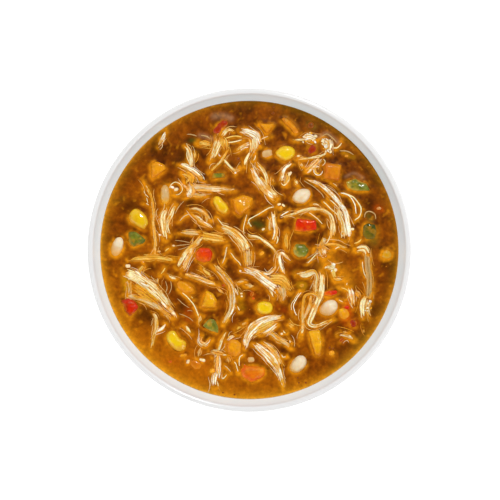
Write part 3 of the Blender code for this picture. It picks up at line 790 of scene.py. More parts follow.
@dataclass
class Vegetables:
    """Corn kernels, white beans, diced carrot and cut red and green pepper."""

    level: float
    around: int = 72
    down: int = 26
    waterline: float = 0.35
    plain_film: float = 0.85
    cut_film: float = 0.5
    kernels: tuple[Cut, ...] = (
        Cut("12.9,49.3 15.3,51.7 17.8,52.8 20.7,52.5 22.7,51 23.2,49.1 22.2,47 20.3,45.5 18.1,44.8 "
            "15.3,45.9 13.5,47.8", 4.6, 2.0),
        Cut("-61.2,16.4 -60.3,18.8 -58.3,20.7 -56.4,20.9 -54,19.3 -51.6,16.4 -50.9,13.4 -52.9,10.4 "
            "-54.9,11 -57.9,12.6 -60.3,14", 4.6, 2.0, (0, -4), 0.35),
        Cut("-18.4,26.2 -16.8,27.4 -14.8,26.8 -13.1,24.9 -11.2,22.9 -10.3,20.5 -11.4,18.4 -13.5,18 "
            "-15.9,19.5 -17.6,22.4 -18.6,24.4", 4.6, 2.2, patch=-0.1),
        Cut("66.4,-3.6 67.6,-0.4 69.6,0.6 71.4,-0.6 72.4,-3 71.4,-4.4 68.4,-4.8", 4.0, 0.8,
            top=Hue.CORN_DEEP),
        Cut("-42.1,-43.4 -41,-41.5 -39,-40.5 -37.5,-40.9 -36.3,-43 -35,-44.7 -33.1,-45.4 -31.7,-46.9 "
            "-31.9,-49.1 -33.6,-51 -36,-51.2 -38.5,-49.8 -40.7,-47.4 -41.8,-45.4", 4.6, 2.4, (0, 3)),
        Cut("3.3,-29.2 4.2,-26.8 6.4,-25.9 9,-25.9 11.2,-26.9 12,-29.2 11,-31.7 8.6,-32.7 6,-32.5 4,-31.3",
            4.6, 2.2))
    beans: tuple[Cut, ...] = (
        Cut("-69.9,-2.6 -70.4,0.8 -69.2,4 -67,7 -64.4,7.3 -63,5 -63.5,1 -65.3,-2.6 -67.6,-4", 5.4, 1.4,
            patch=0.1),
        Cut("-44.6,24.4 -45,28 -44.6,31.6 -42.8,33.4 -40.8,32 -40.2,28 -40.2,25 -41.4,22.9 -43.2,22.8",
            4.3, 1.6, patch=0.1, top=Hue.BEAN_DEEP, side=Hue.CORN_DEEP),
        Cut("21.2,26.4 22.9,29.2 25,30.6 27.3,31.2 30.2,30.6 31.1,28.4 29.8,25 27.3,23.2 24.3,23.4 "
            "22,24.5", 6.0, 2.4),
        Cut("35,-29.5 37.3,-26.7 40.3,-25 43.2,-25.2 44.7,-27.1 44.7,-29.5 42.8,-32.2 39.8,-33.5 "
            "36.5,-32.8 35.2,-31.3", 6.0, 2.4),
        Cut("20,-58.9 21.9,-55.5 24.8,-53.1 27.3,-53.1 29.1,-55 29,-57.4 27.7,-59.8 24.8,-62 21.9,-62 "
            "20.3,-60.6", 6.0, 2.4, patch=0.2))
    carrots: tuple[Cut, ...] = (
        Cut("-49.5,36 -47,36.8 -42,41 -43,43.4 -47,45 -49.5,43.6", 5.5, 2.0, (3, -4)),
        Cut("4.7,63.8 9,58.5 12.8,63.6", 4.5, 1.6, (-3, 2)),
        Cut("15.8,66.4 18,63.6 21,61 23.2,58.4 25.2,59.2 23.6,62 20.8,65 17.6,67.2", 4.5, 1.4, (0, 3),
            0.2),
        Cut("37,35.9 45.4,34.7 46.6,43.1 38.2,44.3", 7.0, 2.8, (4, 3), 0.6),
        Cut("-9,25.4 -7.6,19 -5,17 1,22 2,26 -3,28", 6.0, 2.6, (-3, 4)),
        Cut("-37,-17 -36,-20 -32.5,-22 -28.2,-21.4 -28,-19.4 -31.5,-16.2 -35.6,-15.2", 5.0, 1.2, (2, -3),
            0.2),
        Cut("-21.6,-20.4 -24.8,-29.4 -16.6,-29.4 -16.2,-25.4 -18.2,-22", 6.5, 2.4, (-4, -5),
            top=Hue.CARROT_PALE),
        Cut("29.8,-41 31.4,-47.6 33.4,-53.6 36.2,-53.6 37,-46 35.6,-40.2", 6.0, 2.4, (0, -5),
            top=Hue.CARROT_PALE),
        Cut("-12,-47.6 -11,-52.4 -7,-54.2 -4,-52 -4,-47 -6.4,-45 -10,-45", 6.0, 1.8, (2, 0), 0.3),
        Cut("-4.6,-60.4 -3.4,-64.4 1,-67 5,-65.4 8.2,-63.4 8.2,-59.8 4,-58.7 -2,-58.4", 6.0, 1.8,
            (-3, 2), 0.55, side=Hue.ORANGE))
    red_peppers: tuple[Cut, ...] = (
        Cut("24,16 22.6,9.6 29,9 34,10.6 33.4,15", 3.6, 1.8, (3, 0), -0.3),
        Cut("-27.4,-1.6 -26.8,-5 -23,-6.6 -19.6,-5.6 -18.4,-1.6 -20.2,1 -25,1.2", 5.0, 2.4, (0, 6), 0.55),
        Cut("-65,-25.4 -63,-30.4 -60.4,-34 -57.8,-32 -55.8,-29.2 -57.6,-25.8 -61,-24.3", 4.0, 1.6,
            (-4, 3), 0.35, side=Hue.RED_DEEP),
        Cut("37.4,-22.8 41,-23.5 44.6,-21.8 44,-20.3 40,-20.5 37.6,-21.3", 3.0, 1.2))
    green_peppers: tuple[Cut, ...] = (
        Cut("-19,36.2 -12.3,36.6 -12.5,38.8 -18.5,38.8", 3.0, 1.2, side=Hue.GREEN_DEEP),
        Cut("-61,9 -61,4 -58.5,1.2 -53.5,3.4 -52,5.2 -57.5,9.3", 3.6, 1.4, (2, -3), side=Hue.GREEN_DEEP),
        Cut("48.4,34.4 49.6,31 55,29.7 61,29.9 59,33.4 53.5,36.1", 3.6, 1.4, (-3, 0)),
        Cut("57,7.2 59,5.3 63,5.6 64.6,9 63.4,13 60,14 57.2,12", 4.0, 0.9, (0, 2), top=Hue.GREEN_DEEP,
            side=Hue.GREEN_DEEP),
        Cut("21.7,0.4 22.6,-2.2 25,-3.8 28.5,-3.3 30.2,0 28,2.8 23.6,3.1", 4.5, 2.2, (-3, -3)),
        Cut("-20,-34.4 -24,-38.3 -20,-40.7 -15.6,-42 -15.8,-38 -17.5,-35", 4.2, 2.0, (3, 3)))

    def edge_line(self, cut: Cut, corner: float) -> Array:
        """Walk round a cut's outline at even steps, with its corners rounded.

        The outline is sampled by length and each sample is averaged with its
        neighbours by a bell curve as wide as the corner, which rounds corners
        and leaves straight runs alone.

        Args:
            cut: The piece.
            corner: Width of the bell curve.

        Returns:
            Rows of x and y round the piece, against the clock.
        """
        corners = plan_of(cut.outline)
        corners = np.vstack([corners, corners[:1]])
        area = np.sum(corners[:-1, 0] * corners[1:, 1] - corners[1:, 0] * corners[:-1, 1])
        if area < 0:
            corners = corners[::-1]
        runs = np.linalg.norm(np.diff(corners, axis=0), axis=1)
        along = np.concatenate([[0], np.cumsum(runs)])
        even = along[-1] * np.arange(self.around) / self.around
        line = np.column_stack([np.interp(even, along, corners[:, axis]) for axis in (0, 1)])
        gap = np.minimum(even, along[-1] - even)
        bell = np.exp(-0.5 * (gap / corner) ** 2)
        bell /= bell.sum()
        spread = np.fft.fft(line, axis=0) * np.fft.fft(bell)[:, None]
        return np.real(np.fft.ifft(spread, axis=0))

    def skin(self, cut: Cut, kind: Kind, seed: int) -> Skin:
        """Swell a cut's outline into a soft-edged piece.

        Ring k lies at the polar angle p from the top: the outline is drawn
        towards its centre by sin(p) ^ boxiness, and the height is half the
        thickness times cos(p) ^ boxiness, so a boxiness of 1 makes a ball and
        a low one makes flat faces with round edges. Noise then moves the
        surface in and out. The side colour and the sauce patches lean to the
        near left side, away from the key light, as painted shade. Sauce covers
        the piece under the waterline, which stands higher on its near left
        side, and that film is a bright gold, painted light over the shaded
        underside.

        Args:
            cut: The piece.
            kind: How its kind is shaped.
            seed: Picks its noise.

        Returns:
            The piece in its place.
        """
        line = self.edge_line(cut, kind.corner)
        centre = line.mean(axis=0)
        polar = math.pi * (np.arange(self.down) + 0.5) / self.down
        reach = np.sin(polar) ** kind.boxiness
        drop = np.sign(np.cos(polar)) * np.abs(np.cos(polar)) ** kind.boxiness
        flat = (line - centre)[None] * reach[:, None, None]
        height = np.repeat(drop[:, None] * cut.thickness / 2, self.around, axis=1)
        rings = np.concatenate([flat, height[..., None]], axis=-1)
        bumps = noise(rings, 3.2, 3, seed)
        rings = rings * (1 + kind.relief * bumps / max(2.0, cut.thickness))[..., None]
        rings[..., 2] += kind.relief * noise(rings, 2.2, 2, seed + 1)
        tilt_x, tilt_y = np.radians(cut.tilt)
        x, y, z = rings[..., 0], rings[..., 1], rings[..., 2]
        x, z = x * math.cos(tilt_y) + z * math.sin(tilt_y), z * math.cos(tilt_y) - x * math.sin(tilt_y)
        y, z = y * math.cos(tilt_x) - z * math.sin(tilt_x), y * math.sin(tilt_x) + z * math.cos(tilt_x)
        z = z + self.level + cut.rise - cut.thickness / 2
        size = np.abs(line - centre).max()
        # Place along the key light's direction, used to paint shade on the near left side
        along_light = (0.55 * x + 0.83 * y) / size
        rings = np.stack([x + centre[0], y + centre[1], z], axis=-1)
        cloud = noise(rings, 3.6, 3, seed + 2)
        edge = smooth_step(0.55, 1.0, np.repeat(reach[:, None], self.around, axis=1))
        # The side colour leans to the near left as painted shade
        share = 0.4 * edge + 0.7 * cloud - 0.6 * along_light + cut.patch
        top, side = cut.top or kind.top, cut.side or kind.side
        colour = mix(shade_of(top), shade_of(side), share)
        fleck = noise(rings, 1.7, 2, seed + 4)
        colour = colour * (1 + kind.mottle * fleck)[..., None]
        # Sauce patches, more of them on the near left as painted shade
        glaze = smooth_step(0.05, 0.55, 0.6 * fleck + cloud - 0.25 * along_light)
        colour = mix(colour, shade_of(Hue.SAUCE), kind.glaze * glaze)
        # The waterline stands higher on the near left, and its film is a bright gold: painted light over
        # the shaded underside
        wet = z - self.level + 0.5 * noise(rings, 1.8, 2, seed + 3) + np.clip(along_light, -1, 1)
        tint = self.plain_film if top is side else self.cut_film
        film = mix(shade_of(Hue.PAINTED_LIGHT_GOLD), shade_of(side), np.full(height.shape, tint))
        colour = mix(film, colour, smooth_step(-0.2, self.waterline + 1.0, wet))
        return Skin.lump(rings, colour)

    def kinds(self) -> list[tuple[tuple[Cut, ...], Kind]]:
        """List each kind's pieces with how it looks.

        Returns:
            Rows of a kind's pieces and its looks.
        """
        return [(self.kernels, Kind(CORN, "corn", Hue.CORN, Hue.CORN_DEEP, 0.6, 0.75, 0.2, 0.06, 0.3)),
                (self.beans, Kind(BEAN, "bean", Hue.BEAN, Hue.BEAN_DEEP, 0.8, 0.9, 0.12, 0.04, 0.25)),
                (self.carrots, Kind(CARROT, "carrot", Hue.CARROT, Hue.CARROT_DEEP,
                                    0.6, 0.55, 0.4, 0.12, 0.4)),
                (self.red_peppers, Kind(PEPPER, "red_pepper", Hue.RED, Hue.ORANGE,
                                        0.6, 0.55, 0.35, 0.15, 0.2)),
                (self.green_peppers, Kind(PEPPER, "green_pepper", Hue.GREEN, Hue.GREEN_PALE,
                                          0.5, 0.5, 0.45, 0.4, 0.4))]

    def build(self) -> int:
        """Make every piece.

        Returns:
            The number of triangles.
        """
        total = 0
        for cuts, kind in self.kinds():
            finish = kind.finish.make()
            for index, cut in enumerate(cuts):
                node = f"{kind.slot}_{index + 1}"
                skin = self.skin(cut, kind, CUT_SEED + index)
                total += skin.make(node + "_skin", finish, kind.slot, [node])
        return total

    def discs(self) -> Array:
        """List discs that fill each piece in plan, as rows of x, y and radius.

        Returns:
            Rows of x, y and radius.
        """
        rows = []
        for cuts, kind in self.kinds():
            for cut in cuts:
                line = self.edge_line(cut, kind.corner)[::2]
                centre = line.mean(axis=0)
                for share in (0.86, 0.55, 0.2):
                    ring = centre + (line - centre) * share
                    rows.append(np.column_stack([ring, np.full(len(ring), 0.6)]))
        return np.vstack(rows)


@dataclass(frozen=True)
class Bit:
    """A small lump: place, turn, plan size, height above the broth, colour and slot."""

    x: float
    y: float
    turn: float
    length: float
    width: float
    rise: float
    hue: Hue
    slot: str


def ball(around: int, down: int) -> Array:
    """Give a unit ball as rings, from its top down.

    Args:
        around: Points round a ring.
        down: Number of rings.

    Returns:
        Places by ring, place round it and axis.
    """
    polar = math.pi * (np.arange(down) + 0.5)[:, None] / down
    angle = math.tau * np.arange(around)[None] / around
    return np.stack([np.sin(polar) * np.cos(angle), np.sin(polar) * np.sin(angle),
                     np.cos(polar) * np.ones_like(angle)], axis=-1)


def lump(bit: Bit, level: float, around: int, down: int, seed: int) -> Skin:
    """Make a lump: a flattened ball of rings, dented by noise, set at its height.

    Args:
        bit: Its place, size and colour.
        level: Height of the broth.
        around: Points round a ring.
        down: Rings from top to bottom.
        seed: Picks its dents.

    Returns:
        The lump.
    """
    parts = ball(around, down)
    shape = np.sign(parts) * np.abs(parts) ** 0.85
    thickness = 0.75 * bit.width
    shape = shape * [bit.length / 2, bit.width / 2, thickness / 2]
    dents = noise(shape + 9.7 * seed, 0.5 * bit.width + 0.5, 3, seed)
    shape = shape * (1 + 0.3 * dents)[..., None]
    turn = math.radians(bit.turn)
    x = bit.x + shape[..., 0] * math.cos(turn) - shape[..., 1] * math.sin(turn)
    y = bit.y + shape[..., 0] * math.sin(turn) + shape[..., 1] * math.cos(turn)
    z = level + bit.rise - thickness / 2 + shape[..., 2]
    rings = np.stack([x, y, z], axis=-1)
    # The colour follows the dents: darker where the surface sinks in, lighter on the bulges, as painted
    # shade
    own = shade_of(bit.hue) * (1 + 0.15 * dents)[..., None]
    colour = mix(shade_of(Hue.SAUCE), own, smooth_step(-0.2, 0.7, z - level + 0.5 * dents))
    return Skin.lump(rings, colour)


@dataclass(frozen=True)
class Strip:
    """A strip of meat: route in plan, widths spread evenly along it, colour and lift."""

    route: Route
    widths: tuple[float, ...]
    meat: Meat = Meat.CREAM
    lift: float = 0.0
    crumbs: int = 0


@dataclass
class Track:
    """A strip's middle at even samples, with its width and the direction across it at each."""

    path: Array
    width: Array
    step: float

    def __post_init__(self) -> None:
        """Work out the track's length, direction and level unit direction across."""
        self.length = float(np.linalg.norm(np.diff(self.path, axis=0), axis=1).sum())
        self.ahead = np.gradient(self.path, axis=0)
        unit = self.ahead / (np.linalg.norm(self.ahead, axis=1)[:, None] + 1e-9)
        self.across = np.column_stack([-unit[:, 1], unit[:, 0]])

    def at(self, share: Array) -> tuple[Array, Array, Array]:
        """Give middle, direction across and width at shares of the length, held at its ends.

        Args:
            share: Shares of the length, where 0 and 1 are its ends.

        Returns:
            Rows of x and y, rows of unit directions, and widths.
        """
        even = np.linspace(0, 1, len(self.path))
        middle, across = (np.stack([np.interp(share, even, line[:, axis]) for axis in (0, 1)], axis=-1)
                          for line in (self.path, self.across))
        return middle, across, np.interp(share, even, self.width)

    def past(self, share: Array) -> tuple[Array, Array, Array]:
        """Give the same, with the middle running straight on past the ends.

        Args:
            share: Shares of the length, which may lie under 0 or over 1.

        Returns:
            Rows of x and y, rows of unit directions, and widths.
        """
        middle, across, width = self.at(share)
        first, last = self.ahead[[0, -1]] / self.step
        over = (share - np.clip(share, 0, 1))[:, None] * self.length
        return middle + np.where(over < 0, first, last) * over, across, width


@dataclass
class Bundles:
    """How a strip of meat becomes a torn ribbon of fibres with loose hairs and crumbs."""

    level: float
    step: float = 0.4
    column: float = 0.22
    fibre: float = 0.95
    fibre_length: float = 7.0
    ridge: float = 0.2
    sink: float = 0.35
    seat: float = -0.05
    dip: float = 0.3
    pitch: float = 1.3
    tallest: float = 1.6
    fray: float = 2.4
    fibre_sides: int = 8
    fibre_squash: float = 0.62
    hair_radius: float = 0.17
    hair_sides: int = 5
    ghost_samples: int = 14
    # Direction towards the key light; fibre sides facing away from it are painted gold as painted shade
    toward_key_light: Plan = (0.45, 0.89)
    crumb_around: int = 10
    crumb_down: int = 7

    def track(self, strip: Strip) -> Track:
        """Sample a strip at even steps, with its widths spread along it.

        Args:
            strip: The strip.

        Returns:
            Its track.
        """
        path, share = follow(strip.route, self.step)
        width = np.interp(share, np.linspace(0, 1, len(strip.widths)), strip.widths)
        return Track(path, width, self.step)

    def bed(self, strip: Strip, seed: int) -> Skin:
        """Make the torn bed of soaked meat that the fibres lie on.

        A ring is an ellipse of points at s = cos(a) across and sin(a) up. Each
        column of points keeps its s along the strip, and starts and stops by
        its own ragged length, so the ends split like torn meat. Noise long
        in the fibre's direction and short across it raises ridges, and gives
        them the fibre's colour, with sauce in the grooves between them.

        Args:
            strip: The strip.
            seed: Picks its noise.

        Returns:
            The bed.
        """
        track = self.track(strip)
        length = track.length
        widest = track.width.max()
        rows = len(track.path)
        around = 2 * int(np.clip(math.ceil(widest / self.column), 5, 24))
        angle = math.tau * (np.arange(around) + 0.5) / around
        s, lift = np.cos(angle), np.sin(angle)
        column = np.column_stack([s * widest / 1.1, np.full(around, seed * 3.1)])
        ragged = self.fray * min(1.0, length / 9)
        start = ragged * (0.5 + 0.5 * noise(column, 1.0, 2, seed)) / length
        end = 1 - ragged * (0.5 + 0.5 * noise(column, 1.0, 2, seed + 1)) / length
        share = np.linspace(0, 1, rows)[:, None]
        along = start + (end - start) * share
        base, side, wide = track.at(along)
        cap = np.sqrt(np.clip(np.minimum(share, 1 - share) * length / 2.0, 0.01, 1))
        place = along * length
        edge = np.stack([place, np.broadcast_to(np.sign(s) * 40 + seed, along.shape)], axis=-1)
        rough = 1 + 0.25 * noise(edge, 2.2, 3, seed + 2)
        offset = s * wide / 2 * rough * (0.45 + 0.55 * cap)
        drift = 0.3 * noise(np.stack([place, np.full(along.shape, seed)], axis=-1), 6.0, 2, seed + 3)
        cells = np.stack([(offset + drift) / self.fibre, place / self.fibre_length], axis=-1)
        grain = noise(cells, 1.0, 2, seed + 4)
        top = np.clip(lift, 0, 1)
        height = np.clip(0.3 * wide, 0.25, self.tallest)
        high = height * np.sign(lift) * np.abs(lift) ** 0.8
        high = np.where(lift < 0, -self.sink * np.abs(lift), high) * cap
        high = high + self.ridge * grain * top * np.minimum(1, wide / 1.6) * cap
        points = np.concatenate([base + side * offset[..., None], along[..., None] * 0], axis=-1)
        lumps = noise(points, 3.0, 2, seed + 5)
        high = high * (1 + 0.3 * lumps) + self.dip * lumps
        points[..., 2] = self.level + self.seat + strip.lift + high
        patch = noise(points, 3.2, 3, seed + 6)
        bare = smooth_step(-0.2, 0.35, grain + 0.5 * patch)
        fibre, groove = strip.meat.colours()
        colour = mix(groove, fibre, bare)
        return Skin.over(points[:, ::-1], points[0].mean(axis=0), points[-1].mean(axis=0),
                         self.sauced(strip, points, top + 0 * along, colour)[:, ::-1])

    def sauced(self, strip: Strip, points: Array, top: Array, colour: Array) -> Array:
        """Wet a colour with sauce in cloudy patches, and where the meat is low or faces sideways paint it
        bright gold as painted light.

        Args:
            strip: The strip.
            points: Places by ring and place round it.
            top: How far each faces up, from 0 to 1.
            colour: Its dry colour.

        Returns:
            The wet colours.
        """
        patch = noise(points, 4.2, 3, SAUCE_SEED)
        fine = noise(points, 1.5, 2, SAUCE_SEED + 1)
        above = points[..., 2] - self.level - strip.lift + 0.4 * patch + 0.15 * fine
        colour = mix(colour, shade_of(Hue.GOLD), 0.8 * smooth_step(-0.1, 0.35, patch + 0.4 * fine))
        colour = mix(colour, shade_of(Hue.SAUCE), 0.6 * smooth_step(0.2, 0.55, patch + 0.3 * fine))
        # Sides that face away from the sky are painted bright gold, painted light against their shade
        colour = mix(colour, shade_of(Hue.PAINTED_LIGHT_GOLD), 0.85 * smooth_step(0.6, 0.0, top))
        # Parts low by the broth are sauced in the same bright gold, brightened as painted light
        return mix(colour, shade_of(Hue.PAINTED_LIGHT_GOLD), 0.85 * smooth_step(0.45, 0.0, above))

    def fibres(self, strip: Strip, seed: int) -> list[Skin]:
        """Lay bundles of fibre side by side over the bed.

        Bundle k of n keeps its seat ((k + 0.5) / n - 0.5) across the strip,
        drifts about it, and swings outwards past the bed's ends, each by its
        own length, so the ends fan out. The near left side of every bundle,
        away from the key light, is painted gold as painted shade, and sauce
        soaks about one in three.

        Args:
            strip: The strip.
            seed: Picks its noise and draws.

        Returns:
            One skin for each bundle.
        """
        draw = np.random.default_rng(SEED + FIBRE_SEED + seed)
        track = self.track(strip)
        length = track.length
        count = int(np.clip(round(track.width.max() / self.pitch), 1, 6))
        fibre, groove = strip.meat.colours()
        made = []
        for index in range(count):
            first, last = draw.uniform(-0.03, 0.14), draw.uniform(0.86, 1.03)
            share = np.linspace(first, last, max(6, int((last - first) * length / self.step)))
            middle, turn, wide = track.past(share)
            ends = smooth_step(0.55, 1.0, np.abs(2 * share - 1))
            line = np.column_stack([share * length, np.full(len(share), 7.3 * index + seed)])
            seat = ((index + 0.5) / count - 0.5) * 0.92 * wide * (1 + 0.45 * ends)
            seat = seat + 0.3 * noise(line, 5.0, 2, seed + 7) + draw.uniform(-0.2, 0.2)
            radius = np.clip(0.5 * wide / count, 0.3, 0.72) * draw.uniform(0.75, 1.1)
            radius = radius * (1 + 0.3 * noise(line, 2.4, 2, seed + 8))
            near = np.clip(np.minimum(share - first, last - share) * length, 0, None)
            radius = radius * np.sqrt(np.clip(near / 2.4, 0.02, 1))
            dome = np.sqrt(np.clip(1 - (2 * seat / (wide + 0.6)) ** 2, 0, 1))
            high = self.seat + strip.lift + np.clip(0.3 * wide, 0.2, self.tallest) * dome
            high = high + self.dip * noise(line, 6.0, 2, seed + 9) - 0.35 * ends
            core = np.column_stack([middle + turn * seat[:, None], self.level + high])
            rings = tube(core, radius, radius * self.fibre_squash, self.fibre_sides)
            up = (rings[..., 2] - core[:, None, 2]) / (self.fibre_squash * radius[:, None] + 1e-6)
            fine = noise(rings, 1.3, 2, seed + 10)
            colour = mix(groove, fibre, smooth_step(-0.1, 0.9, up + 0.5 * fine))
            # Paint the near left side of each bundle gold, as painted shade away from the key light
            offset = (rings - core[:, None])[..., :2] @ np.array(self.toward_key_light)
            near_left_painted_shade = 0.5 * smooth_step(0.0, -0.8, offset / (radius[:, None] + 1e-6))
            soak = draw.choice([0.0, 0.0, 0.9]) * smooth_step(-0.5, 0.1, noise(line, 5.0, 2, seed + 11))
            colour = mix(colour, shade_of(Hue.GOLD), np.maximum(near_left_painted_shade, soak[:, None]))
            colour = self.sauced(strip, rings, np.clip(up + 0.35, 0, 1), colour)
            made.append(Skin.over(rings, core[0], core[-1], colour))
        return made

    def hairs(self, strip: Strip, seed: int) -> list[Skin]:
        """Lay thin hairs along the strip, some on it and some beside it.

        A hair keeps a place across the strip, from -0.75 to 0.75 of its width,
        drifts about it by a sine wave and strays outwards at its ends.

        Args:
            strip: The strip.
            seed: Picks its noise and draws.

        Returns:
            One skin for each hair.
        """
        draw = np.random.default_rng(SEED + seed)
        track = self.track(strip)
        length = track.length
        made = []
        for _ in range(1 + round(track.width.max() * 0.65)):
            first = draw.uniform(-0.04, 0.35)
            last = draw.uniform(0.65, 1.04)
            share = np.linspace(first, last, max(6, int((last - first) * length / 0.55)))
            middle, turn, wide = track.at(share)
            seat = draw.uniform(-0.75, 0.75)
            wave = 0.22 * np.sin(draw.uniform(0, math.tau) + share * length / draw.uniform(1.0, 2.2))
            stray = draw.uniform(-0.9, 0.9) * smooth_step(0.7, 1.05, np.abs(2 * share - 1))
            place = seat * wide + wave + stray
            dome = np.sqrt(np.clip(1 - (2 * place / (wide + 0.2)) ** 2, 0, 1))
            height = np.clip(0.42 * wide, 0.4, self.tallest) * dome
            core = np.column_stack([middle + turn * place[:, None],
                                    self.level + self.seat + strip.lift + height + 0.05])
            radius = self.hair_radius * draw.uniform(0.8, 1.25)
            thin = np.sqrt(np.clip(np.minimum(share - first, last - share) * length / 1.2, 0.03, 1))
            rings = tube(core, radius * thin, radius * thin, self.hair_sides)
            own = mix(shade_of(Hue.GOLD), strip.meat.colours()[0], draw.uniform(0.2, 1.0))
            patch = noise(rings, 3.0, 3, SAUCE_SEED + 5)
            colour = mix(own, shade_of(Hue.GOLD), smooth_step(-0.1, 0.35, patch))
            made.append(Skin.over(rings, core[0], core[-1], colour))
        return made

    def ghosts(self, strip: Strip, seed: int) -> list[Skin]:
        """Lay stained hairs round the strip in the broth's skin.

        Each starts by the strip, keeps roughly to its direction and strays
        from it by a bow, at just the height of the broth.

        Args:
            strip: The strip.
            seed: Picks its noise and draws.

        Returns:
            One skin for each hair.
        """
        draw = np.random.default_rng(SEED + GHOST_SEED + seed)
        track = self.track(strip)
        made = []
        for _ in range(int(1 + track.length / 6)):
            centre = draw.uniform(0.05, 0.95)
            reach = draw.uniform(2.0, 5.0) / track.length
            bow = np.linspace(-1, 1, self.ghost_samples)
            middle, turn, _ = track.past(np.linspace(centre - reach, centre + reach, len(bow)))
            wide = track.at(centre)[2]
            seat = draw.choice([-1, 1]) * (0.4 * wide + draw.uniform(0.3, 1.8))
            seat = seat + draw.uniform(-1.2, 1.2) * bow + draw.uniform(-1.2, 1.2) * bow ** 2
            core = np.column_stack([middle + turn * seat[:, None],
                                    np.full(len(bow), self.level + draw.uniform(0.05, 0.3))])
            radius = self.hair_radius * draw.uniform(0.7, 1.3) * np.sqrt(np.clip(1 - bow ** 2, 0.02, 1))
            rings = tube(core, radius, radius, self.hair_sides)
            own = mix(shade_of(Hue.BROTH_HALO), strip.meat.colours()[0], draw.uniform(0, 0.5))
            made.append(Skin.over(rings, core[0], core[-1], np.broadcast_to(own, rings.shape)))
        return made

    def torn(self, strip: Strip, seed: int) -> list[Skin]:
        """Heap crumbs of torn meat over the strip, denser towards its middle.

        Args:
            strip: The strip.
            seed: Picks its noise and draws.

        Returns:
            One skin for each crumb.
        """
        draw = np.random.default_rng(SEED + TORN_SEED + seed)
        track = self.track(strip)
        made = []
        for index in range(strip.crumbs):
            pick = draw.integers(0, len(track.path))
            wide = track.width[pick]
            seat = draw.uniform(-0.62, 0.62) * wide
            x, y = track.path[pick] + track.across[pick] * seat
            size = draw.uniform(0.8, 1.9)
            lift = 0.32 * wide * (1 - abs(seat) / wide) + draw.uniform(0, 0.5)
            hue = (Hue.WHITE, Hue.CREAM, Hue.CREAM, Hue.GOLD)[draw.integers(0, 4)]
            bit = Bit(x, y, draw.uniform(0, 180), size, size * draw.uniform(0.55, 0.9),
                      lift + 0.3, hue, "chicken")
            made.append(lump(bit, self.level, self.crumb_around, self.crumb_down, index + seed))
        return made

    def skins(self, strip: Strip, seed: int) -> list[Skin]:
        """Make a strip's bed, fibres, loose and stained hairs, and crumbs."""
        return [self.bed(strip, seed), *self.fibres(strip, seed), *self.hairs(strip, seed),
                *self.ghosts(strip, seed), *self.torn(strip, seed)]

    def discs(self, strip: Strip) -> Array:
        """List discs along a strip, as wide as it is."""
        track = self.track(strip)
        return np.column_stack([track.path, track.width / 2])[::2]


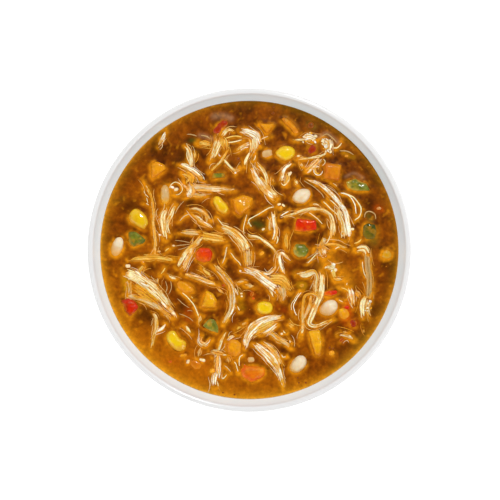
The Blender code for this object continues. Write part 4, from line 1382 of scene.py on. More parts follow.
@dataclass
class ShreddedChicken:
    """The tangles of shredded chicken that lie on the broth."""

    bundles: Bundles
    tangles: tuple[tuple[Strip, ...], ...] = (
        (Strip("-32.6,53.2 -30.4,50 -29.4,45 -29.4,40.6", (1.6, 2.2, 1.4)),
         Strip("-36,43.5 -30,40.8 -26,38 -22.4,34.8", (1.4, 2.2, 1.4), Meat.WHITE),
         Strip("-33.4,39 -29.4,36.8 -30.4,33", (2.4, 3.2, 3.6), Meat.GOLD),
         Strip("-31.4,34 -29.4,29.6 -32.4,26.8", (4.0, 4.4, 2.6), Meat.WHITE),
         Strip("-29.6,31.6 -20,31 -14,30.6 -6.6,30.2", (3.4, 2.8, 1.0), Meat.WHITE),
         Strip("-29.4,28.2 -25.6,27.4 -21.6,27.8", (2.6, 2.4, 1.4), Meat.BEIGE)),
        (Strip("-16.2,57.4 -18.7,48 -20,44.6", (1.6, 1.8, 1.2)),
         Strip("-14.4,56.6 -16.6,50 -18.4,45.4", (2.4, 2.4, 1.0)),
         Strip("-14.6,56.4 -11.6,59.8 -9.5,60.6 -7.4,59.4", (2.0, 1.3, 1.0)),
         Strip("-13.4,57 -12.6,54 -11.6,50.6", (3.6, 4.4, 2.6), Meat.GOLD),
         Strip("-9.6,52.2 -11.6,49.4 -14,45.5 -18.4,41 -21,38.9", (1.4, 1.1, 0.8)),
         Strip("-13.2,46.2 -9,41.5 -6.5,40.3 -4.4,41.8", (1.2, 1.1, 0.9))),
        (Strip("-4.6,60.4 0,59.4 3.6,57.4 5.4,52.8", (2.4, 4.2, 3.0), Meat.WHITE),
         Strip("1.2,57.4 2.2,53 0.9,48.6", (3.2, 4.2, 2.2)),
         Strip("-7,50 -4,52 0.8,54.2", (1.0, 1.6, 2.2), Meat.WHITE),
         Strip("0.6,50 -1.8,45 -2.5,41.8", (1.8, 1.5, 1.0))),
        (Strip("0.7,42.8 3,37 5.6,33 9,29 13,25.4", (1.6, 3.2, 2.6), Meat.WHITE),
         Strip("4.6,38 9.4,31.4 14.3,26.6", (1.6, 2.4, 1.8)),
         Strip("3.6,44 6,41.5 8.3,37.4 9.4,32", (1.2, 2.0, 2.0))),
        (Strip("21.6,43.8 18,41 16.5,37 16.2,34", (1.2, 1.8, 1.5), Meat.WHITE),
         Strip("16.4,34.2 17.6,33 19.6,35.8 19,39.6", (1.5, 2.0, 2.0))),
        (Strip("26.6,56 30,57.2 34,55.8", (2.6, 3.6, 2.2), Meat.WHITE, 0.0, 16),
         Strip("21.8,55.2 27,55.6 32.6,55", (0.8, 1.2, 1.6))),
        (Strip("37.4,56 39.6,53 39.4,49.6", (2.6, 4.2, 3.2), Meat.WHITE, 0.0, 22),
         Strip("23.2,45.9 31,46.4 36,47.4 40.2,49.6", (0.9, 1.2, 1.4)),
         Strip("36.4,47 32,42.4 28.8,39.4", (1.6, 2.8, 2.2), Meat.WHITE),
         Strip("34.4,44.2 33,41 34.2,38.6 35.8,39.4", (1.0, 0.9, 0.9))),
        (Strip("29.2,36 36,32.8 42,27.5 48,20 49.7,13 50.8,5.4", (1.4, 2.2, 2.4, 2.4), Meat.WHITE),
         Strip("45.6,23.4 45.2,18.6 47.2,12.6 47.8,5.6", (1.4, 1.8, 3.4))),
        (Strip("15.6,15.6 20,17.6 27,20 33,20.9 37.8,20 41.2,17.2 42.2,12 42.4,6", (1.0, 1.6, 1.6, 3.2)),),
        (Strip("11.9,19.4 12.7,14 13.4,10 12.6,6 11.6,4.2", (2.0, 2.3, 1.4), Meat.WHITE),
         Strip("11.9,17.8 10.2,13.6 10.6,9", (1.2, 1.5, 1.2), Meat.BEIGE)),
        (Strip("-14.6,11.8 -8.6,9.2 -4,4.6 -0.6,-1", (2.6, 4.6, 5.0)),
         Strip("-0.8,0.6 -0.6,-4 -0.4,-9", (4.6, 4.4, 3.6), Meat.BEIGE),
         Strip("-2.4,-9.6 3,-11.6 8.6,-15.6 14.4,-19.4", (2.2, 4.4, 5.4), Meat.WHITE),
         Strip("9.6,-15 16,-15.4 20.4,-20.8", (4.4, 5.6, 3.0), Meat.GOLD),
         Strip("14.4,-17.6 16.6,-21 17.4,-25.8", (4.0, 3.6, 1.8), Meat.BEIGE),
         Strip("4,-11.4 9.2,-12 12.6,-9.4 13.8,-6.6", (1.6, 1.3, 0.9), Meat.WHITE),
         Strip("17.4,-13 15.4,-7 15,-2.6 17,-1.5 20.6,-5.4", (1.8, 1.3, 0.9), Meat.WHITE)),
        (Strip("-12,5.4 -17,6 -24.6,7.4", (2.4, 3.8, 3.6), Meat.GOLD),
         Strip("-24,7.4 -27.6,2.6 -32,-1.4 -36.6,-9", (2.6, 2.8, 1.6)),
         Strip("-28,1.6 -31,-4 -33.6,-10.2", (2.2, 2.4, 1.6), Meat.WHITE),
         Strip("-24.4,8.2 -29,8.6 -35.6,9", (2.2, 2.2, 1.2), Meat.BEIGE)),
        (Strip("-30.4,21 -26,20.6 -22,18.2 -19,14.6", (1.0, 1.5, 1.2), Meat.BEIGE),
         Strip("-29,18.6 -26,16.2 -22.6,13.4 -18.2,11.4", (1.2, 2.2, 1.4), Meat.WHITE),
         Strip("-22.4,18.4 -21.4,16 -21.4,13.2", (1.2, 1.4, 1.2), Meat.BEIGE)),
        (Strip("-41.6,21.4 -43.6,17 -43.4,12 -42.2,5.4", (1.8, 3.2, 2.2)),
         Strip("-37.2,23.4 -39.2,18.5 -41.8,12.4 -40.2,7", (1.2, 2.4, 1.4))),
        (Strip("-53,34.6 -49.4,26 -48.5,19 -48.7,13 -47.6,5 -48,-3.8", (0.8, 1.2, 1.5)),
         Strip("-61,-4.9 -55,-4.2 -46,-3.9 -37.4,-5.2", (1.2, 2.4, 1.4), Meat.GOLD)),
        (Strip("-63.4,-11.6 -57,-14 -50,-18.8 -44,-24.6 -37.8,-33", (4.0, 6.0, 2.2)),
         Strip("-62.8,-23 -56,-24.2 -48,-27.6 -39.4,-33.8", (1.6, 3.0, 2.0), Meat.BEIGE),
         Strip("-60.6,-15.6 -60.2,-19.6 -60.4,-23.2", (2.6, 1.8, 2.2), Meat.BEIGE),
         Strip("-58.8,-17.4 -53,-21 -45,-27.4", (4.2, 6.0, 3.4), Meat.SOAKED),
         Strip("-57,-13.4 -55,-10 -52.9,-7.8", (2.6, 1.8, 1.0), Meat.GOLD),
         Strip("-58.5,-10 -56,-12 -53.5,-14.3", (0.8, 1.3, 0.8), Meat.WHITE, 1.4),
         Strip("-52.5,-13.5 -50.5,-15.5", (0.8, 0.9), Meat.WHITE, 1.6),
         Strip("-56,-16 -53,-17.6 -50,-18.7", (0.9, 1.3, 0.9), Meat.WHITE, 1.9),
         Strip("-49.5,-20 -46.5,-22.2", (1.2, 1.2), Meat.WHITE, 1.6),
         Strip("-45.5,-25 -41,-29.5 -38,-32 -37.3,-34.5", (1.4, 1.8, 1.0), Meat.WHITE, 0.9),
         Strip("-45,-22.5 -43,-25 -41,-28", (0.7, 0.8, 0.7), Meat.WHITE, 0.9)),
        (Strip("-33.6,-12 -27,-13.8 -21,-16 -15.6,-17.4", (1.4, 2.2, 1.2), Meat.WHITE),),
        (Strip("-18.6,-7.4 -13,-13 -9.4,-17.6 -8.5,-24 -9.2,-30.4 -13.4,-38", (1.8, 3.1, 3.1, 1.6),
               Meat.BEIGE),
         Strip("-9,-18.6 -7,-20.6 -5.6,-23", (1.8, 1.5, 1.2), Meat.WHITE),
         Strip("-17,-7 -12,-13 -9,-17.4 -7.9,-22 -7.6,-26 -8.6,-31 -12,-36", (0.9, 1.2, 0.9), Meat.WHITE,
               0.7)),
        (Strip("-49.3,-31 -47.2,-34.4 -47,-39.4 -48.3,-43.6 -49.5,-50", (1.2, 2.4, 1.0)),
         Strip("-42.2,-37 -44.6,-39.8 -48,-41.2", (1.0, 1.4, 1.8), Meat.WHITE)),
        (Strip("-11.6,-41 -13.8,-45 -15,-48.4 -16,-52", (1.0, 1.5, 1.6)),
         Strip("-20,-51 -15.6,-51.8 -11.6,-53", (1.2, 2.6, 1.4), Meat.BEIGE),
         Strip("-15.6,-51.8 -15.6,-58 -15.7,-64.8", (2.0, 3.2, 1.6), Meat.WHITE),
         Strip("-16,-60 -17.8,-64.6 -18,-69", (1.8, 2.4, 1.9), Meat.WHITE)),
        (Strip("-2.2,-49.6 -1,-44 2.4,-39.2 8,-35.2 16.8,-33.6", (1.8, 5.6, 1.2), Meat.WHITE),
         Strip("5.6,-42.6 10,-40.6 14.4,-37.4", (1.4, 2.2, 1.4), Meat.WHITE),
         Strip("0.6,-42 6,-39.4 12.8,-36.2", (3.6, 4.6, 2.6), Meat.GOLD),
         Strip("10,-40.8 14,-44.4 19,-47.4 21.5,-49.8", (1.6, 2.4, 1.2), Meat.BEIGE)),
        (Strip("2,-47.4 6.4,-50.6 11,-55 14.6,-60.6 17.8,-70.6", (2.0, 4.8, 1.0), Meat.WHITE),
         Strip("6.8,-46.6 11,-50 14.2,-54.4 16.2,-59.6", (1.4, 2.8, 1.8), Meat.WHITE)),
        (Strip("36.4,-10.8 37,-15 35.7,-23 31.6,-33 30.4,-37.2 33.4,-38.4 38,-36.8 43.6,-34.4",
               (1.6, 2.8, 2.2, 1.3, 0.9)),
         Strip("35.2,-23.4 31.4,-22.2 27.8,-24 26.9,-33 27.1,-39 25.9,-44.4", (1.4, 1.3, 1.7, 1.0)),
         Strip("31.3,-22.1 30.3,-28.4 27.4,-35.4", (1.0, 1.9, 1.1), Meat.BEIGE),
         Strip("24,-12 28.4,-12.4 32.6,-11 34.2,-14 33.6,-19 34.2,-23.4", (2.6, 3.4, 1.5, 1.3, 1.3))),
        (Strip("38.4,-8 41.6,-8.7 43.8,-8.8", (1.6, 3.0, 1.8), Meat.CREAM, 0.0, 6),
         Strip("42.8,-8.6 42.6,-12 43.6,-14.4", (2.2, 1.8, 1.6), Meat.GOLD),
         Strip("42.2,-14.2 44,-14.8 47.4,-14.7", (1.2, 1.8, 1.2))),
        (Strip("50.7,-18.8 51.8,-23 52.6,-28.6", (1.6, 3.2, 1.8), Meat.WHITE),),
        (Strip("54,0.2 58,0.6 59.8,-2.4", (2.4, 3.2, 2.6)),
         Strip("59.6,-1.6 59.8,-9 60.6,-15 60.6,-21 60.6,-26", (2.6, 3.2, 3.0), Meat.MAUVE),
         Strip("59.4,-22.6 57.2,-27 57.2,-34", (2.0, 3.2, 2.4)),
         Strip("60.4,-25 59.4,-30 60.8,-34", (3.2, 3.2, 2.2), Meat.BEIGE, 0.0, 7)),
        (Strip("38,6.8 36.8,3.4 36.6,0.4", (1.0, 2.0, 3.6)),
         Strip("33.8,-0.8 36.8,-0.4 39.8,-1.4", (3.4, 5.2, 3.4), Meat.WHITE),
         Strip("36.2,1.2 36.8,-0.9 37.4,-3", (3.4, 4.4, 3.8), Meat.WHITE, 0.9),
         Strip("37.2,2.6 43,2.8 49.6,0.7", (1.6, 1.5, 1.0))))

    def build(self) -> int:
        """Make each tangle as one piece.

        Returns:
            The number of triangles.
        """
        finish = CHICKEN.make()
        total = 0
        for number, strips in enumerate(self.tangles):
            node = f"chicken_{number + 1}"
            skins = []
            for index, strip in enumerate(strips):
                skins += self.bundles.skins(strip, 100 * number + index)
            total += Skin.joined(skins).make(node + "_fibres", finish, "chicken", [node])
        return total

    def discs(self) -> Array:
        """List discs along every strip."""
        return np.vstack([self.bundles.discs(strip) for strips in self.tangles for strip in strips])


@dataclass
class LooseStrands:
    """Hairs of meat and onion that lie in the broth's skin, too fine to be solids."""

    level: float
    bundles: Bundles
    step: float = 0.5
    sides: int = 6
    squash: float = 0.85
    sink: float = 0.12
    widest_hair: float = 1.15
    meat: tuple[tuple[Route, float, Meat], ...] = (
        ("-42,60.5 -44,56.5 -46,52.5", 1.5, Meat.WHITE),
        ("-26,54 -22.5,54.2 -19.3,53.6", 2.4, Meat.GOLD),
        ("-31.5,51 -31.4,47 -30,43", 0.8, Meat.CREAM),
        ("-27,49.5 -28,46", 1.4, Meat.GOLD),
        ("-35,43.7 -32,43.4 -30,42.3", 0.7, Meat.CREAM),
        ("-13.5,56 -8,57.5 -3,57", 1.0, Meat.GOLD),
        ("-13,54.2 -8,54.6 -3,55.8", 0.9, Meat.CREAM),
        ("-5,50 -2.4,51.6 0,52", 0.9, Meat.WHITE),
        ("-15.5,49.5 -15.2,47.8 -13.8,47.2", 0.8, Meat.WHITE),
        ("5.5,55.5 7,56.5 11,57.8", 0.6, Meat.CREAM),
        ("3.3,48.5 2.8,46.4 1.5,44.5", 0.8, Meat.CREAM),
        ("11.5,36 12.3,34", 1.2, Meat.BEIGE),
        ("23.5,36 23.6,34.4 24.5,33", 1.2, Meat.CREAM),
        ("26,44 27,42", 1.2, Meat.CREAM),
        ("36.2,45.4 37.6,45.6 38.3,44.4 37.4,43 36,42.5", 0.7, Meat.CREAM),
        ("36.2,41.6 34.6,42.2 33,41.2 32.8,39.2 34.2,37.9 36,38.2 37,39.6 36.4,40.8", 0.8, Meat.WHITE),
        ("41.5,51.5 44.5,51.7 47.2,55", 1.0, Meat.CREAM),
        ("37,25 41,21 45,17 47,13 48,5", 0.8, Meat.CREAM),
        ("40,26 44.6,21.6 48,16", 0.7, Meat.CREAM),
        ("15.3,16.7 18,18.6 20.5,20", 0.9, Meat.WHITE),
        ("29,19.5 33,17 37.5,12.5", 0.7, Meat.CREAM),
        ("31,23 33.6,23.2 36,22.5", 0.6, Meat.CREAM),
        ("45.5,29 50,27.5 53,23.5 54,17.5", 0.8, Meat.WHITE),
        ("46,29.5 52,27 55.5,23 56.5,20 55.5,17 52.5,14.5", 0.9, Meat.CREAM),
        ("41.5,34 43.4,33 45,31", 0.7, Meat.BEIGE),
        ("-53.5,31 -52.6,28.4 -50.5,26", 0.6, Meat.CREAM),
        ("-52,27 -51,23", 0.6, Meat.CREAM),
        ("-53,23.7 -51.4,23.2 -49.8,22", 0.6, Meat.CREAM),
        ("-35.5,14.3 -33,17 -29.5,18.5", 0.7, Meat.BEIGE),
        ("-16.5,16.5 -14,13.4 -12,11", 0.7, Meat.CREAM),
        ("-11,2.5 -12,-1 -12.5,-4 -14.3,-8", 1.1, Meat.BEIGE),
        ("-1,19 -2,15 -3,11 -2.5,7.5", 0.7, Meat.CREAM),
        ("0.5,16 -0.6,14 -1,12", 0.6, Meat.CREAM),
        ("13,22 9.5,21 5,18.3 0,15.5 0.2,13 1.2,11.5", 0.8, Meat.CREAM),
        ("13.8,8 14.3,5 13.5,2.5", 1.0, Meat.CREAM),
        ("-2,8 1,7 4,6.5 8,4 11,1.5 13.5,-1.6 14,-5", 1.2, Meat.CREAM),
        ("19.2,9 18.6,5 19,0.4", 1.8, Meat.GOLD),
        ("43,0 45,1.5 48.5,1.5", 0.8, Meat.CREAM),
        ("52,3 55,4 57,6", 1.1, Meat.GOLD),
        ("41.2,9 39.6,4.4 36,0.6 32,-4 29,-7", 0.8, Meat.CREAM),
        ("-54,-5 -53,-7", 0.9, Meat.CREAM),
        ("-43,-1.5 -41.5,0.3 -40,1", 1.0, Meat.GOLD),
        ("-47,-0.8 -44.5,-0.5", 1.2, Meat.BEIGE),
        ("-42.3,-8.5 -43.4,-10.6 -45,-12.5", 1.0, Meat.GOLD),
        ("-41,-12.5 -39,-14 -36.5,-14.5", 1.5, Meat.CREAM),
        ("-10,-0.5 -7.5,-4 -5,-6.5 -4,-8.5", 0.7, Meat.CREAM),
        ("-24,-9.3 -22,-11 -19,-13.5", 1.4, Meat.GOLD),
        ("-34.5,-21 -31,-24 -28.5,-27 -26.5,-31 -25.5,-34", 0.9, Meat.CREAM),
        ("-30,-23 -28,-25", 1.0, Meat.GOLD),
        ("-24.5,-33 -24.8,-35 -25.5,-37", 1.2, Meat.CREAM),
        ("-6.5,-27.5 -5.5,-29.5 -4.7,-31", 1.0, Meat.CREAM),
        ("-7,-16.5 -4.4,-16 -2,-16", 1.5, Meat.BEIGE),
        ("-2.5,-17.5 0,-18.2 2.5,-18.3", 1.8, Meat.BEIGE),
        ("9.5,-19 11,-21.4 12,-24", 1.2, Meat.CREAM),
        ("12.5,-20 13.5,-22.5", 1.0, Meat.CREAM),
        ("27,-20.5 24,-24.5 22.3,-28 23,-31.5 24.5,-33.7", 0.8, Meat.WHITE),
        ("25.8,-20.5 23,-24.5 21.2,-28 22,-32 24,-34.2", 0.6, Meat.CREAM),
        ("45,-19 48,-19.5 50,-21 50,-23.5 48.5,-25", 0.8, Meat.GOLD),
        ("44.5,-24.5 46.4,-25.8 48.5,-26.5", 0.8, Meat.CREAM),
        ("49.5,-16 49,-18.5", 0.8, Meat.CREAM),
        ("51,-25 51.4,-27.6 52.5,-30", 1.0, Meat.BEIGE),
        ("57,-5 57.5,-10 59,-14 59.8,-16", 0.8, Meat.CREAM),
        ("-47,-35 -46.5,-38", 1.4, Meat.GOLD),
        ("-32.5,-38 -31,-40.2 -29.5,-42", 1.5, Meat.CREAM),
        ("-24,-43 -25,-46.2 -22.4,-47.8 -19.6,-45.2", 2.2, Meat.WHITE),
        ("-18.5,-54 -14.5,-53 -11,-53", 1.0, Meat.CREAM),
        ("-16.5,-65.5 -15.5,-69.3", 0.8, Meat.CREAM),
        ("-11,-62.5 -13.5,-65 -14,-62", 0.8, Meat.CREAM),
        ("-13,-58 -11,-59.6 -9,-62", 0.7, Meat.BEIGE),
        ("-8,-56 -6.5,-58 -5.5,-62.5", 0.8, Meat.CREAM),
        ("-3,-52.7 -5,-54.5 -5,-60", 0.8, Meat.CREAM),
        ("-26.5,-54.7 -24,-55.5", 0.9, Meat.CREAM),
        ("-11.5,-46 -9.5,-44 -7,-43", 1.8, Meat.WHITE),
        ("-4,-38 -1.5,-36.5", 1.2, Meat.CREAM),
        ("-7,-40 -4,-38.5", 1.2, Meat.GOLD),
        ("20,-37 21.4,-38.4 22.5,-39", 2.0, Meat.GOLD),
        ("17,-40 17.6,-41.6 19,-42", 1.0, Meat.CREAM),
        ("20.5,-45.3 21,-47", 1.2, Meat.WHITE),
        ("16,-52 17,-54 19.5,-53.5", 0.7, Meat.CREAM),
        ("45,-42.8 48,-43 50.5,-43.8 53,-45.8", 1.8, Meat.WHITE),
        ("47,-41.3 50,-41.8", 1.2, Meat.CREAM),
        ("-40.6,30 -39.5,33 -37,34.2 -34.6,33 -33.8,30.4 -35.4,28.2 -37.8,27.8", 0.6, Meat.CREAM))
    onion: tuple[tuple[Route, float], ...] = (
        ("-32,58.5 -29,58.2 -26,57.3", 0.9),
        ("-25,58 -22,57.4 -19,56", 1.1),
        ("27,35.5 35,30 38,26", 0.7),
        ("-29,3.5 -34,4.5 -38,5", 0.6),
        ("-29,3 -34,2.5 -38,2", 0.7),
        ("-29.5,2.5 -33,1 -36.5,0", 0.6),
        ("-46,-14 -46.4,-15.6 -46,-17", 1.6),
        ("-42.5,-15 -41.5,-19 -42.5,-22", 0.7),
        ("-40,-15 -39.3,-19 -41,-23", 0.7),
        ("-17,-18.5 -14.6,-20.6 -12.3,-22", 1.5),
        ("-36,-32 -33,-33 -30,-34.5 -28,-36.5", 0.6),
        ("-32,-31 -30,-30.6 -28,-31", 0.6),
        ("-37,-24 -33,-27.5 -30,-29.5", 0.6),
        ("36,1 32,-2.5 28.5,-4.5", 0.7),
        ("34,-4 31,-5.4 28,-7", 0.7),
        ("33,-15 31.5,-18 30.3,-20.5", 0.8),
        ("53,-20.5 54.6,-22 56,-24", 2.6),
        ("-10.8,-53.6 -10.4,-55.4 -10,-57", 2.3),
        ("-24.5,-49 -25.4,-51.6 -26,-54", 1.8),
        ("36,57 39,58.5 42,56.5 44.5,54", 0.9),
        ("45,50 49,50 53,48", 1.0),
        ("58,16 58.6,18.6 60.5,19.6 63.4,18 64,15", 1.0),
        ("57.8,-40 57.8,-42", 1.2))

    def strand(self, route: Route, width: float, meat: Meat, seed: int) -> list[Skin]:
        """Make a strand: a tapered hair, or a small bundle of fibres where it is wide.

        A hair's middle drifts by noise, stands half out of the broth's skin
        and dips under it at both ends. It is pale above and golden below.

        Args:
            route: Its route.
            width: Its width.
            meat: Its colours.
            seed: Picks its noise and draws.

        Returns:
            The skins that make it up.
        """
        if width > self.widest_hair:
            strip = Strip(route, (0.6 * width, 1.1 * width, 0.7 * width), meat)
            return self.bundles.skins(strip, WIDE_STRAND_SEED + seed)
        path, share = follow(route, self.step)
        drift = np.column_stack([noise(path, 2.6, 2, seed), noise(path, 2.6, 2, seed + 5)])
        path = path + 0.2 * drift
        length = np.linalg.norm(np.diff(path, axis=0), axis=1).sum()
        near = np.minimum(share, 1 - share) * length
        radius = 0.34 * width * (1 + 0.3 * noise(path, 1.9, 2, seed + 9))
        radius = radius * np.sqrt(np.clip(near / 2.2, 0.02, 1))
        lift = self.sink + 0.12 * noise(path, 3.0, 2, seed + 13)
        sunk = 0.3 * smooth_step(1.6, 0.0, near)
        middle = np.column_stack([path, self.level + lift - sunk])
        rings = tube(middle, radius, radius * self.squash, self.sides)
        up = (rings[..., 2] - middle[:, None, 2]) / (self.squash * radius[:, None] + 1e-6)
        fibre, groove = meat.colours()
        patch = noise(rings, 3.0, 3, seed + 17)
        colour = mix(groove, fibre, smooth_step(-0.5, 0.6, up - 0.8 * patch))
        return [Skin.over(rings, middle[0], middle[-1], colour)]

    def build(self) -> int:
        """Make the meat hairs as one piece and the onion arcs as another.

        Returns:
            The number of triangles.
        """
        arcs = [(*row, Meat.MAUVE) for row in self.onion]
        kinds = (("chicken_hairs", self.meat, CHICKEN, "chicken"),
                 ("onion_strands", arcs, SOAKED, "soup"))
        total = 0
        for name, rows, finish, slot in kinds:
            skins = []
            for index, row in enumerate(rows):
                skins += self.strand(*row, STRAND_SEED + 7 * index)
            total += Skin.joined(skins).make(name, finish.make(), slot, [])
        return total

    def discs(self) -> Array:
        """List discs along every meat hair.

        Returns:
            Rows of x, y and radius.
        """
        rows = []
        for route, width, _ in self.meat:
            path, _ = follow(route, 1.0)
            rows.append(np.column_stack([path, np.full(len(path), width / 2)]))
        return np.vstack(rows)


@dataclass
class SmallBits:
    """Small or sunken lumps of vegetable and meat that have no solid of their own."""

    level: float
    around: int = 20
    down: int = 12
    bits: tuple[Bit, ...] = (
        Bit(9, 48.7, 15, 6.0, 4.0, 0.7, Hue.BEAN_DEEP, "bean"),
        Bit(0.5, -55.5, 10, 5.0, 4.0, 0.2, Hue.BEAN_DEEP, "bean"),
        Bit(-14.6, 62.2, 42, 9.0, 4.2, 0.7, Hue.RED_DEEP, "red_pepper"),
        Bit(31.8, 51.0, 60, 5.4, 4.4, 0.9, Hue.RED_DEEP, "red_pepper"),
        Bit(52.5, -37, -20, 4.2, 3.4, 0.8, Hue.RED_DEEP, "red_pepper"),
        Bit(46.5, -45.5, 40, 2.6, 2.0, 0.4, Hue.RED_DEEP, "red_pepper"),
        Bit(49, -29, 0, 3.0, 1.8, 0.8, Hue.RED, "red_pepper"),
        Bit(-13, -18, 30, 2.2, 1.6, 0.3, Hue.RED_DEEP, "red_pepper"),
        Bit(-40, -56.5, 10, 1.8, 1.4, 0.3, Hue.RED, "red_pepper"),
        Bit(1.5, -22.3, 60, 3.0, 2.2, 0.3, Hue.RED_DEEP, "red_pepper"),
        Bit(2.0, -24.5, 0, 1.4, 1.2, 0.4, Hue.ORANGE, "carrot"),
        Bit(48, -32, -70, 6.4, 5.2, 1.1, Hue.CARROT, "carrot"),
        Bit(46.5, -30.5, 0, 2.4, 1.8, 1.2, Hue.CARROT_PALE, "carrot"),
        Bit(-27, -58.5, -20, 9.4, 7.0, 0.25, Hue.CARROT_DEEP, "carrot"),
        Bit(-33, -53, 15, 4.0, 1.6, 0.4, Hue.CARROT, "carrot"),
        Bit(-2.3, -58.5, 0, 1.4, 1.3, 0.5, Hue.ORANGE, "carrot"),
        Bit(-62, -17, 80, 4.2, 3.0, 0.15, Hue.CORN_DEEP, "corn"),
        Bit(26.5, -18, 0, 3.2, 2.6, 0.15, Hue.CORN_DEEP, "corn"),
        Bit(-61.3, -8, 0, 2.4, 2.0, 0.7, Hue.CREAM, "chicken"),
        Bit(-31, -56.3, 60, 2.4, 1.6, 0.6, Hue.CREAM, "chicken"),
        Bit(-23.6, -55.6, -15, 3.2, 1.6, 0.6, Hue.CREAM, "chicken"),
        Bit(49, 47.5, 0, 2.2, 1.6, 0.3, Hue.CORN_DEEP, "corn"),
        Bit(-37, 30.6, 20, 2.6, 1.7, 0.9, Hue.CREAM, "chicken"),
        Bit(-38.8, 31.6, -20, 2.2, 1.3, 0.8, Hue.WHITE, "chicken"),
        Bit(7, 10.5, 40, 1.8, 1.1, 0.5, Hue.CREAM, "chicken"),
        Bit(-45, 7.7, 0, 1.4, 1.1, 0.6, Hue.WHITE, "chicken"),
        Bit(-4.5, -10.5, 0, 1.1, 0.9, 0.6, Hue.WHITE, "chicken"),
        Bit(15, 23, 20, 2.0, 1.2, 1.0, Hue.CREAM, "chicken"),
        Bit(17.2, 22.6, -30, 1.9, 1.1, 0.9, Hue.CREAM, "chicken"),
        Bit(16, 21.2, 60, 2.0, 1.4, 0.9, Hue.GOLD, "chicken"),
        Bit(52, 10.5, 0, 1.8, 1.3, 0.7, Hue.CREAM, "chicken"),
        Bit(20.5, 38.5, 50, 2.6, 1.4, 0.8, Hue.CREAM, "chicken"),
        Bit(24.8, 47.5, 0, 1.6, 1.1, 0.7, Hue.CREAM, "chicken"),
        Bit(-7, 39, 0, 1.0, 0.9, 0.5, Hue.WHITE, "chicken"),
        Bit(-18.5, -61, 0, 3.0, 2.4, 0.9, Hue.GOLD, "chicken"),
        Bit(41.5, -52, 20, 3.2, 2.6, 0.7, Hue.GOLD, "chicken"),
        Bit(16.3, -42.3, 0, 1.2, 1.0, 0.6, Hue.CREAM, "chicken"),
        Bit(-4, -22, 0, 1.3, 1.0, 0.5, Hue.CREAM, "chicken"),
        Bit(-3.8, -23.4, 0, 1.0, 0.8, 0.5, Hue.CREAM, "chicken"),
        Bit(6.2, -1.8, 40, 2.6, 1.6, 1.4, Hue.GOLD, "chicken"),
        Bit(-38.4, 2.2, 0, 1.4, 1.0, 0.5, Hue.CREAM, "chicken"),
        Bit(65.5, 21, 0, 3.4, 2.6, 0.1, Hue.MAUVE, "soup"))

    def build(self) -> int:
        """Make the lumps of each slot as one piece.

        Returns:
            The number of triangles.
        """
        finishes = {"bean": BEAN, "red_pepper": PEPPER, "carrot": CARROT, "corn": CORN,
                    "chicken": CHICKEN, "soup": SOAKED}
        total = 0
        for slot, finish in finishes.items():
            skins = [lump(bit, self.level, self.around, self.down, BIT_SEED + index)
                     for index, bit in enumerate(self.bits) if bit.slot == slot]
            total += Skin.joined(skins).make(slot + "_bits", finish.make(), slot, [])
        return total

    def discs(self) -> Array:
        """List one disc for each lump that stands out of the broth."""
        return np.array([(bit.x, bit.y, bit.width / 2) for bit in self.bits if bit.rise > 0.3])


@dataclass
class Grains:
    """Fine grains in the broth's skin: golden pulp, dark spice and red flakes."""

    level: float
    reach: float
    pulp: int = 360
    spice: int = 130

    def scatter(self, count: int, low: float, high: float, hues: tuple[Hue, ...], seed: int) -> Skin:
        """Scatter grains evenly over the broth by a seeded draw.

        Radii grow with the root of an even draw, so the grains are even by
        area, and each grain is a ball of rings scaled to its own size.

        Args:
            count: Number of grains.
            low: The least width.
            high: The most.
            hues: Colours to draw from.
            seed: Picks the draw.

        Returns:
            All grains as one skin.
        """
        draw = np.random.default_rng(SEED + seed)
        radius = self.reach * np.sqrt(draw.random(count))
        angle = math.tau * draw.random(count)
        skins = []
        for index in range(count):
            size = draw.uniform(low, high)
            hue = hues[draw.integers(0, len(hues))]
            bit = Bit(radius[index] * math.cos(angle[index]), radius[index] * math.sin(angle[index]),
                      draw.uniform(0, 180), size * draw.uniform(1, 1.7), size,
                      0.2 * size, hue, "soup")
            skins.append(lump(bit, self.level - 0.15, 6, 4, index))
        return Skin.joined(skins)

    def build(self) -> int:
        """Make the pulp and the spice as one piece each.

        Returns:
            The number of triangles.
        """
        pulp = self.scatter(self.pulp, 0.3, 0.65, (Hue.GOLD, Hue.CARROT_DEEP, Hue.BROTH_HALO), 1)
        spice = self.scatter(self.spice, 0.3, 0.7, (Hue.PEPPERCORN, Hue.RED_DEEP, Hue.GREEN_DEEP), 2)
        total = pulp.make("pulp_grains", SOAKED.make(), "soup", [])
        return total + spice.make("spice_grains", PEPPER.make(), "soup", [])


@dataclass(frozen=True)
class Sunken:
    """A thing seen through the broth: a soft stroke along a route, with its width and tone."""

    route: Route
    width: float
    hue: Hue
    strength: float


